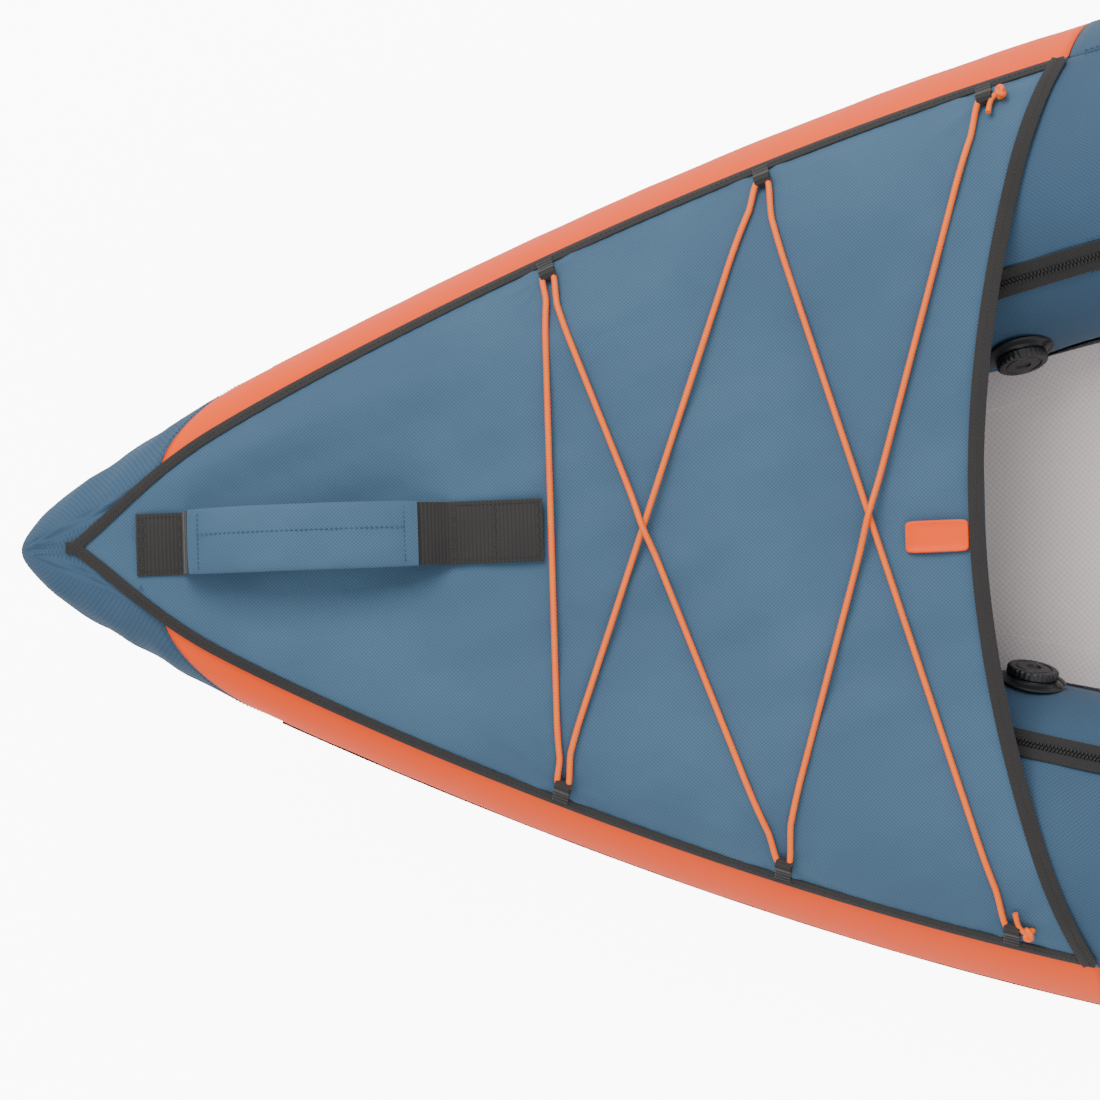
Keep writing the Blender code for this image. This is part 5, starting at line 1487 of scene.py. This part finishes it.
@dataclass
class Pad:
    """A stuffed piece: a rounded box that is blown up a little as cloth, then sewn with channels."""

    name: str
    body: str
    fill: float
    cap: float = 0.010
    voxel: float = 0.006

    def blown(self, points: Array) -> bpy.types.Object:
        """Closes a grid into a mesh, evens it out, and lets air pressure round it.

        The mesh is remeshed to even cells, run as cloth under pressure without gravity for 20 frames, and no point
        may move further than the cap.

        Args:
            points: a closed grid, pole to pole.

        Returns:
            The stuffed object, with its place in its mesh.
        """
        made = Piece(self.name).grid(points).build(SEAT_CLOTH, None, "seat_textile")
        even = made.modifiers.new("Even", "REMESH")
        even.mode = "VOXEL"
        even.voxel_size = self.voxel
        self.apply(made)
        rest = np.array([v.co for v in made.data.vertices])
        cloth = made.modifiers.new("Cloth", "CLOTH")
        cloth.settings.use_pressure = True
        cloth.settings.uniform_pressure_force = 4.0
        cloth.settings.effector_weights.gravity = 0.0
        cloth.settings.quality = 5
        scene = bpy.context.scene
        for step in range(1, 21):
            scene.frame_set(step)
        self.apply(made)
        scene.frame_set(1)
        blown = np.array([v.co for v in made.data.vertices])
        move = blown - rest
        reach = np.linalg.norm(move, axis=1, keepdims=True)
        blown = rest + move * np.minimum(1, self.cap / np.maximum(reach, 1e-9))
        made.data.vertices.foreach_set("co", blown.astype(np.float32).ravel())
        return made

    @staticmethod
    def apply(made: bpy.types.Object) -> None:
        """Takes the object's shown shape as its mesh and drops its modifiers."""
        shown = made.evaluated_get(bpy.context.evaluated_depsgraph_get())
        mesh = bpy.data.meshes.new_from_object(shown)
        for look in made.data.materials:
            if look.name not in mesh.materials:
                mesh.materials.append(look)
        made.modifiers.clear()
        made.data = mesh

    @staticmethod
    def shaped(made: bpy.types.Object, lift: Array, flat_uv: Array) -> None:
        """Moves each vertex along its normal by its lift, and gives the faces a UV from flat places in metres."""
        mesh = made.data
        count = len(mesh.vertices)
        normal = np.zeros(count * 3, np.float32)
        mesh.vertices.foreach_get("normal", normal)
        place = np.zeros(count * 3, np.float32)
        mesh.vertices.foreach_get("co", place)
        place = place.reshape(-1, 3) + normal.reshape(-1, 3) * lift[:, None]
        mesh.vertices.foreach_set("co", place.astype(np.float32).ravel())
        layer = mesh.uv_layers.get("cloth") or mesh.uv_layers.new(name="cloth")
        corner = np.zeros(len(mesh.loops), np.int32)
        mesh.loops.foreach_get("vertex_index", corner)
        layer.data.foreach_set("uv", flat_uv[corner].astype(np.float32).ravel())
        mesh.polygons.foreach_set("use_smooth", np.ones(len(mesh.polygons), bool))
        mesh.update()

    @staticmethod
    def places(made: bpy.types.Object) -> Array:
        """The object's vertices."""
        found = np.zeros(len(made.data.vertices) * 3, np.float32)
        made.data.vertices.foreach_get("co", found)
        return found.reshape(-1, 3)


def rounded_box(size: tuple[float, float, float], seat: Matrix, power: float = 0.3) -> Array:
    """A box with soft edges: each coordinate is a signed power of the matching coordinate of a ball.

    Args:
        size: along the seat's X, Y and Z.
        seat: its middle.
        power: near 0 for sharp edges, 1 for a ball.

    Returns:
        A closed grid, pole to pole along Z.
    """
    rise = np.linspace(-math.pi / 2, math.pi / 2, 33)[:, None]
    turn = np.linspace(0, TAU, 97)[None]
    ball = (np.cos(rise) * np.cos(turn), np.cos(rise) * np.sin(turn), np.sin(rise) + 0 * turn)
    local = np.stack([np.sign(c) * np.abs(c) ** power * s / 2 for c, s in zip(ball, size)], -1)
    place = np.array(seat)
    return local @ place[:3, :3].T + place[:3, 3]


@dataclass
class Seat:
    """Cushion, hinged backrest, side straps with buckles, and their anchors on the tubes."""

    lean: float = math.radians(12)
    back_thick: float = 0.045
    back_height: float = 0.36
    strap_height: float = 0.24
    strap_width: float = 0.025
    strap_thick: float = 0.002
    anchor_x: float = 0.10

    def cushion(self) -> None:
        """The cushion, sewn with four cross channels.

        A channel is a narrow groove: its depth falls off as a bell curve from the stitch line.
        """
        low, high = (np.array(c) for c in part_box("seat_cushion"))
        middle, size = (low + high) / 2, high - low
        pad = Pad("seat_cushion", "hull", 0.75, 0.007)
        seat = Matrix.Translation(middle)
        made = pad.blown(rounded_box(tuple(size - np.array([0.012, 0.012, 0.010])), seat, 0.22))
        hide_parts("seat_cushion")
        place = Pad.places(made)
        lift = np.zeros(len(place))
        for channel in np.linspace(low[0] + 0.085, high[0] - 0.085, 4):
            lift -= 0.006 * np.exp(-(((place[:, 0] - channel) / 0.006) ** 2))
        lift -= 0.004 * np.exp(-(((np.abs(place[:, 1]) - 0.145) / 0.006) ** 2))
        lift *= smoothstep(middle[2], middle[2] + 0.012, place[:, 2])
        lift += ripples(place[:, 1], place[:, 0], 0.05, 31) * 0.0008
        self.dress(made, lift, place[:, [1, 0]], low, "hull")

    def dress(self, made: bpy.types.Object, lift: Array, uv: Array, low: Array,
            body: str) -> None:
        """Finishes a stuffed piece: channels, UV, one subdivision, its rest on what is under it, and its body."""
        Pad.shaped(made, lift, uv)
        place = Pad.places(made)
        place[:, 2] = np.maximum(place[:, 2], low[2])
        made.data.vertices.foreach_set("co", place.ravel())
        smooth = made.modifiers.new("Smooth", "SUBSURF")
        smooth.levels = smooth.render_levels = 1
        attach(made, body)

    def backrest(self) -> None:
        """The backrest, with a sewn frame line and three cross channels, on its hinge body."""
        low, high = (np.array(c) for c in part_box("backrest"))
        seat = Matrix.Translation((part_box("seat_cushion")[0].x, 0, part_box("seat_cushion")[1].z + 0.0007))
        seat = seat @ Matrix.Rotation(-self.lean, 4,
            "Y") @ Matrix.Translation((-self.back_thick / 2, 0, self.back_height / 2))
        pad = Pad("backrest", "backrest", 0.65, 0.006)
        width = high[1] - low[1]
        made = pad.blown(rounded_box((self.back_thick - 0.010, width - 0.014, self.back_height - 0.012),
            seat, 0.26))
        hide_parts("backrest")
        place = Pad.places(made)
        inverse = np.array(seat.inverted())
        local = place @ inverse[:3, :3].T + inverse[:3, 3]
        lift = np.zeros(len(place))
        for channel in (-0.08, 0.0, 0.08):
            lift -= 0.005 * np.exp(-(((local[:, 2] - channel) / 0.006) ** 2))
        lift -= 0.004 * np.exp(-(((np.abs(local[:, 1]) - 0.135) / 0.006) ** 2))
        lift *= smoothstep(0.0, 0.010, np.abs(local[:, 0]))
        lift += ripples(local[:, 1], local[:, 2], 0.05, 35) * 0.0008
        self.dress(made, lift, local[:, [1, 2]], np.array([0, 0, -1.0]), "backrest")

    def straps(self) -> None:
        """A strap from the backrest to each tube, with a ladder buckle, and the loop that anchors it.

        The strap is a flat band along a line that sags by a share of its length as a parabola does.
        """
        for name, side in SIDES.items():
            low, high = (np.array(c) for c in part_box(f"seat_strap_{name}"))
            outer = side * max(abs(low[1]), abs(high[1]))
            inner = side * min(abs(low[1]), abs(high[1]))
            start = np.array([low[0] + 0.012, inner + side * 0.001, high[2] - self.strap_width / 2])
            stop = np.array([high[0] - 0.001, outer - side * 0.001, low[2] + self.strap_width / 2])
            t = np.linspace(0, 1, 60)[:, None]
            line = start + (stop - start) * t
            line[:, 2] -= 0.006 * 4 * (t * (1 - t))[:, 0]
            line[:, 1] += side * 0.002 * (4 * t * (1 - t))[:, 0]
            up = np.array([0.0, 0.0, 1.0])
            strap = Piece(f"seat_strap_{name}").grid(*sweep(line, up,
                flat_profile(self.strap_width, self.strap_thick)))
            made = strap.build(WEBBING, None, "webbing", (f"seat_strap_{name}",))
            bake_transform(made)
            heading = unit(line[46] - line[44])
            frame_seat = seat_of(line[45], heading, np.array([0.0, side, 0.0]))
            self.buckle(f"seat_buckle_{name}", frame_seat)
            self.anchor(name, side)

    def buckle(self, name: str, seat: Matrix) -> None:
        """A ladder buckle: two side rails and three bars, each a small rounded bar."""
        place = np.array(seat)
        piece = Piece(name)

        def bar(start: tuple, stop: tuple, radius: float) -> None:
            """A round bar between two places of the buckle's frame."""
            line = np.linspace(np.array(start), np.array(stop), 8) @ place[:3, :3].T + place[:3, 3]
            side = place[:3, 2] if abs(start[1] - stop[1]) > 1e-6 or abs(start[0] - stop[0]) > 1e-6 else place[:3, 0]
            piece.grid(*sweep(line, side, round_profile(radius, 12)))

        for y in (-0.0155, 0.0155):
            bar((-0.019, y, 0.0012), (0.019, y, 0.0012), 0.0024)
        for x in (-0.019, -0.003, 0.019):
            bar((x, -0.0155, 0.0022), (x, 0.0155, 0.0022), 0.0019)
        piece.build(PLASTIC, "hull", "plastic")

    def anchor(self, name: str, side: int) -> None:
        """The webbing loop glued to the tube that the strap's end hooks into."""
        seat = np.array(LINES.frame_at(self.anchor_x, side, -2.5, 0.0006))
        line = np.array([[-0.020, 0, 0.0008], [-0.009, 0, 0.0010], [-0.006, 0, 0.008], [0, 0, 0.0112],
            [0.006, 0, 0.008],
                         [0.009, 0, 0.0010], [0.020, 0, 0.0008]])
        line = rounded(line, 2) @ seat[:3, :3].T + seat[:3, 3]
        piece = Piece(f"seat_anchor_{name}").grid(*sweep(line, seat[:3, 1], flat_profile(0.022, 0.0016, 4)))
        piece.build(WEBBING, "hull", "webbing", (f"seat_anchor_{name}",))

    def build(self) -> None:
        """Builds the seat."""
        self.cushion()
        self.backrest()
        self.straps()


@dataclass
class Footrest:
    """A padded roll on the floor under the bow deck, with a strap to each tube."""

    def build(self) -> None:
        """Builds the roll as a stuffed cylinder with gathered ends, and its two straps."""
        low, high = (np.array(c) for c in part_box("footrest"))
        middle = (low + high) / 2
        radius, half = (high[2] - low[2]) / 2, (high[1] - low[1]) / 2
        rise = np.linspace(-math.pi / 2, math.pi / 2, 33)[:, None]
        turn = np.linspace(0, TAU, 65)[None]
        reach = (radius - 0.004) * np.cos(rise) ** 0.28
        along_y = (half - 0.003) * np.sign(np.sin(rise)) * np.abs(np.sin(rise)) ** 0.8
        points = np.stack([reach * np.cos(turn), along_y + 0 * turn, reach * np.sin(turn)], -1) + middle
        pad = Pad("footrest", "footrest", 0.8, 0.004, 0.005)
        made = pad.blown(points)
        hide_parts("footrest")
        place = Pad.places(made) - middle
        angle = np.arctan2(place[:, 2], place[:, 0])
        lift = -0.003 * np.exp(-(((np.abs(place[:, 1]) - half + 0.012) / 0.004) ** 2))
        lift += np.cos(angle * 16) * 0.0012 * smoothstep(half - 0.02, half - 0.004, np.abs(place[:, 1]))
        uv = np.stack([angle * radius, place[:, 1]], -1)
        Seat().dress(made, lift, uv, low, "footrest")
        for name in SIDES:
            node_name = f"footrest_strap_{name}"
            low, high = (np.array(c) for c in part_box(node_name))
            inner, outer = (low[1], high[1]) if SIDES[name] > 0 else (high[1], low[1])
            t = np.linspace(0, 1, 30)
            line = np.stack([high[0] + (low[0] - high[0]) * t, inner + (outer - inner) * t,
                np.full(30, middle[2])], -1)
            line[:, 2] -= 0.003 * 4 * t * (1 - t)
            made = Piece(node_name).grid(*sweep(line, np.array([0.0, 0.0, 1.0]),
                flat_profile(0.020, 0.0015))).build(
                WEBBING, None, "webbing", (node_name,))
            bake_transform(made)


@dataclass
class FinBox:
    """The slotted box under the stern that a fin slides into."""

    half: float = 0.017
    slot: float = 0.0045
    depth: float = 0.020
    slot_depth: float = 0.016
    length: float = 0.120

    def build(self) -> None:
        """Builds the box as one outline, slot and glued wings included, carried along the hull's bottom line."""
        low, high = (np.array(c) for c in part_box("fin_box"))
        x_low, x_high = low[0], high[0]
        rise = (LINES.skin(x_high, 1, 7.0)[2] - LINES.skin(x_low, 1, 7.0)[2]) / (x_high - x_low)
        heading = unit(np.array([1.0, 0.0, rise]))
        down = np.array([heading[2], 0.0, -heading[0]])
        middle = np.array([(x_low + x_high) / 2, 0.0, 0.0])
        middle[2] = LINES.skin(middle[0], 1, 7.0)[2]
        start, stop = middle - heading * self.length / 2, middle + heading * self.length / 2
        floor = self.depth - self.slot_depth
        right = np.array([
            (self.half + 0.020, 0.0003), (self.half + 0.020, 0.0016), (self.half + 0.004, 0.0024),
                (self.half, 0.0045),
            (self.half - 0.0035, self.depth - 0.001), (self.half - 0.0045, self.depth),
                (self.slot + 0.0006, self.depth),
            (self.slot, self.depth - 0.0006), (self.slot, floor),
        ])
        outline = np.concatenate([right, right[::-1] * np.array([-1, 1])])
        t = np.array([0.0, 0.004, 0.03, 0.25, 0.5, 0.75, 0.97, 0.996, 1.0])
        line = start + (stop - start) * t[:, None] + down * 0.0012
        side = np.array([0.0, 1.0, 0.0])
        up = np.cross(heading, side)
        sign = float(np.sign((up * down).sum()))
        points = line[:, None] + outline[None, :, :1] * side + outline[None, :, 1:] * up * sign
        points[[0, -1]] = points[[0, -1]] * 0.94 + line[[0, -1],
            None] * 0.06 + 0.06 * down * self.depth * 0.3
        ring = np.concatenate([points, points[:, :1]], 1)
        piece = Piece("fin_box").grid(ring)
        half_count = len(right)
        for k in (0, -1):
            cap = np.stack([points[k, :half_count], points[k, half_count:][::-1]], 0)
            piece.grid(cap)
        piece.build(PLASTIC, "hull", "plastic", ("fin_box",), sharp=30)


@dataclass
class Studio:
    """A plain pale floor, soft light and the camera over the middle of the boat."""

    lens: float = 185.7
    place: tuple[float, float, float] = (0.0122, 0.2290, 4.6106)
    turns: tuple[float, float, float] = (-2.226, -15.914,
        -1.779)  # about X, Y and Z, from looking straight down

    def camera(self) -> None:
        """The camera, turned from one that looks straight down with the bow to its left."""
        about = [Matrix.Rotation(math.radians(t), 4, axis) for t, axis in zip(self.turns, "XYZ")]
        lens = bpy.data.cameras.new("camera")
        lens.lens = self.lens
        lens.clip_end = 60
        made = bpy.data.objects.new("camera", lens)
        half_turn = Matrix.Rotation(math.pi, 4, "Z")
        made.matrix_world = Matrix.Translation(self.place) @ about[2] @ about[1] @ about[0] @ half_turn
        bpy.context.scene.collection.objects.link(made)
        bpy.context.scene.camera = made

    def light(self, name: str, place: tuple, aim: tuple, size: float, power: float) -> None:
        """One soft square light aimed at a point."""
        lamp = bpy.data.lights.new(name, "AREA")
        lamp.size = size
        lamp.energy = power
        made = bpy.data.objects.new(name, lamp)
        made.matrix_world = Matrix.Translation(place) @ (Vector(aim) - Vector(place)).to_track_quat("-Z",
            "Y").to_matrix().to_4x4()
        bpy.context.scene.collection.objects.link(made)

    def build(self) -> None:
        """Sets up the floor, the lights, the pale surroundings and the camera."""
        mesh = bpy.data.meshes.new("studio_floor")
        mesh.from_pydata([(-9, -9, 0), (9, -9, 0), (9, 9, 0), (-9, 9, 0)], [], [(0, 1, 2, 3)])
        paper = bpy.data.materials.new("paper_floor")
        paper.use_nodes = True
        shader = paper.node_tree.nodes["Principled BSDF"]
        shader.inputs["Base Color"].default_value = linear("#F7F7F7")
        shader.inputs["Emission Color"].default_value = linear("#FFFFFF")
        seen = node(paper.node_tree, "LightPath").outputs["Is Camera Ray"]
        glow = node(paper.node_tree, "Math", {0: seen, 1: 9.0}, operation="MULTIPLY").outputs[0]
        paper.node_tree.links.new(glow, shader.inputs["Emission Strength"])
        shader.inputs["Roughness"].default_value = 0.9
        mesh.materials.append(paper)
        floor = bpy.data.objects.new("studio_floor", mesh)
        bpy.context.scene.collection.objects.link(floor)
        world = bpy.data.worlds.new("surroundings")
        world.use_nodes = True
        world.node_tree.nodes["Background"].inputs["Color"].default_value = linear("#FFFFFF")
        world.node_tree.nodes["Background"].inputs["Strength"].default_value = 0.95
        bpy.context.scene.world = world
        self.light("key", (1.6, -2.6, 3.6), (1.0, 0.0, 0.2), 2.4, 150)
        self.light("fill", (0.2, 2.8, 3.0), (0.6, 0.0, 0.2), 3.0, 45)
        self.camera()


def main() -> None:
    """Builds the studio and every sub-assembly in order."""
    logging.basicConfig(level=logging.INFO, format="%(message)s")
    Studio().build()
    Lacing().build()
    Hull().build()
    for name, end in ENDS.items():
        Deck(name, end).build()
        CarryHandle(name, end).build()
    Badge().build()
    for name, side in SIDES.items():
        Zip(name, side).build()
        TubeValve(name, side).build()
    FloorValve().build()
    Floor().build()
    Seat().build()
    Footrest().build()
    FinBox().build()


if __name__ == "__main__":
    main()
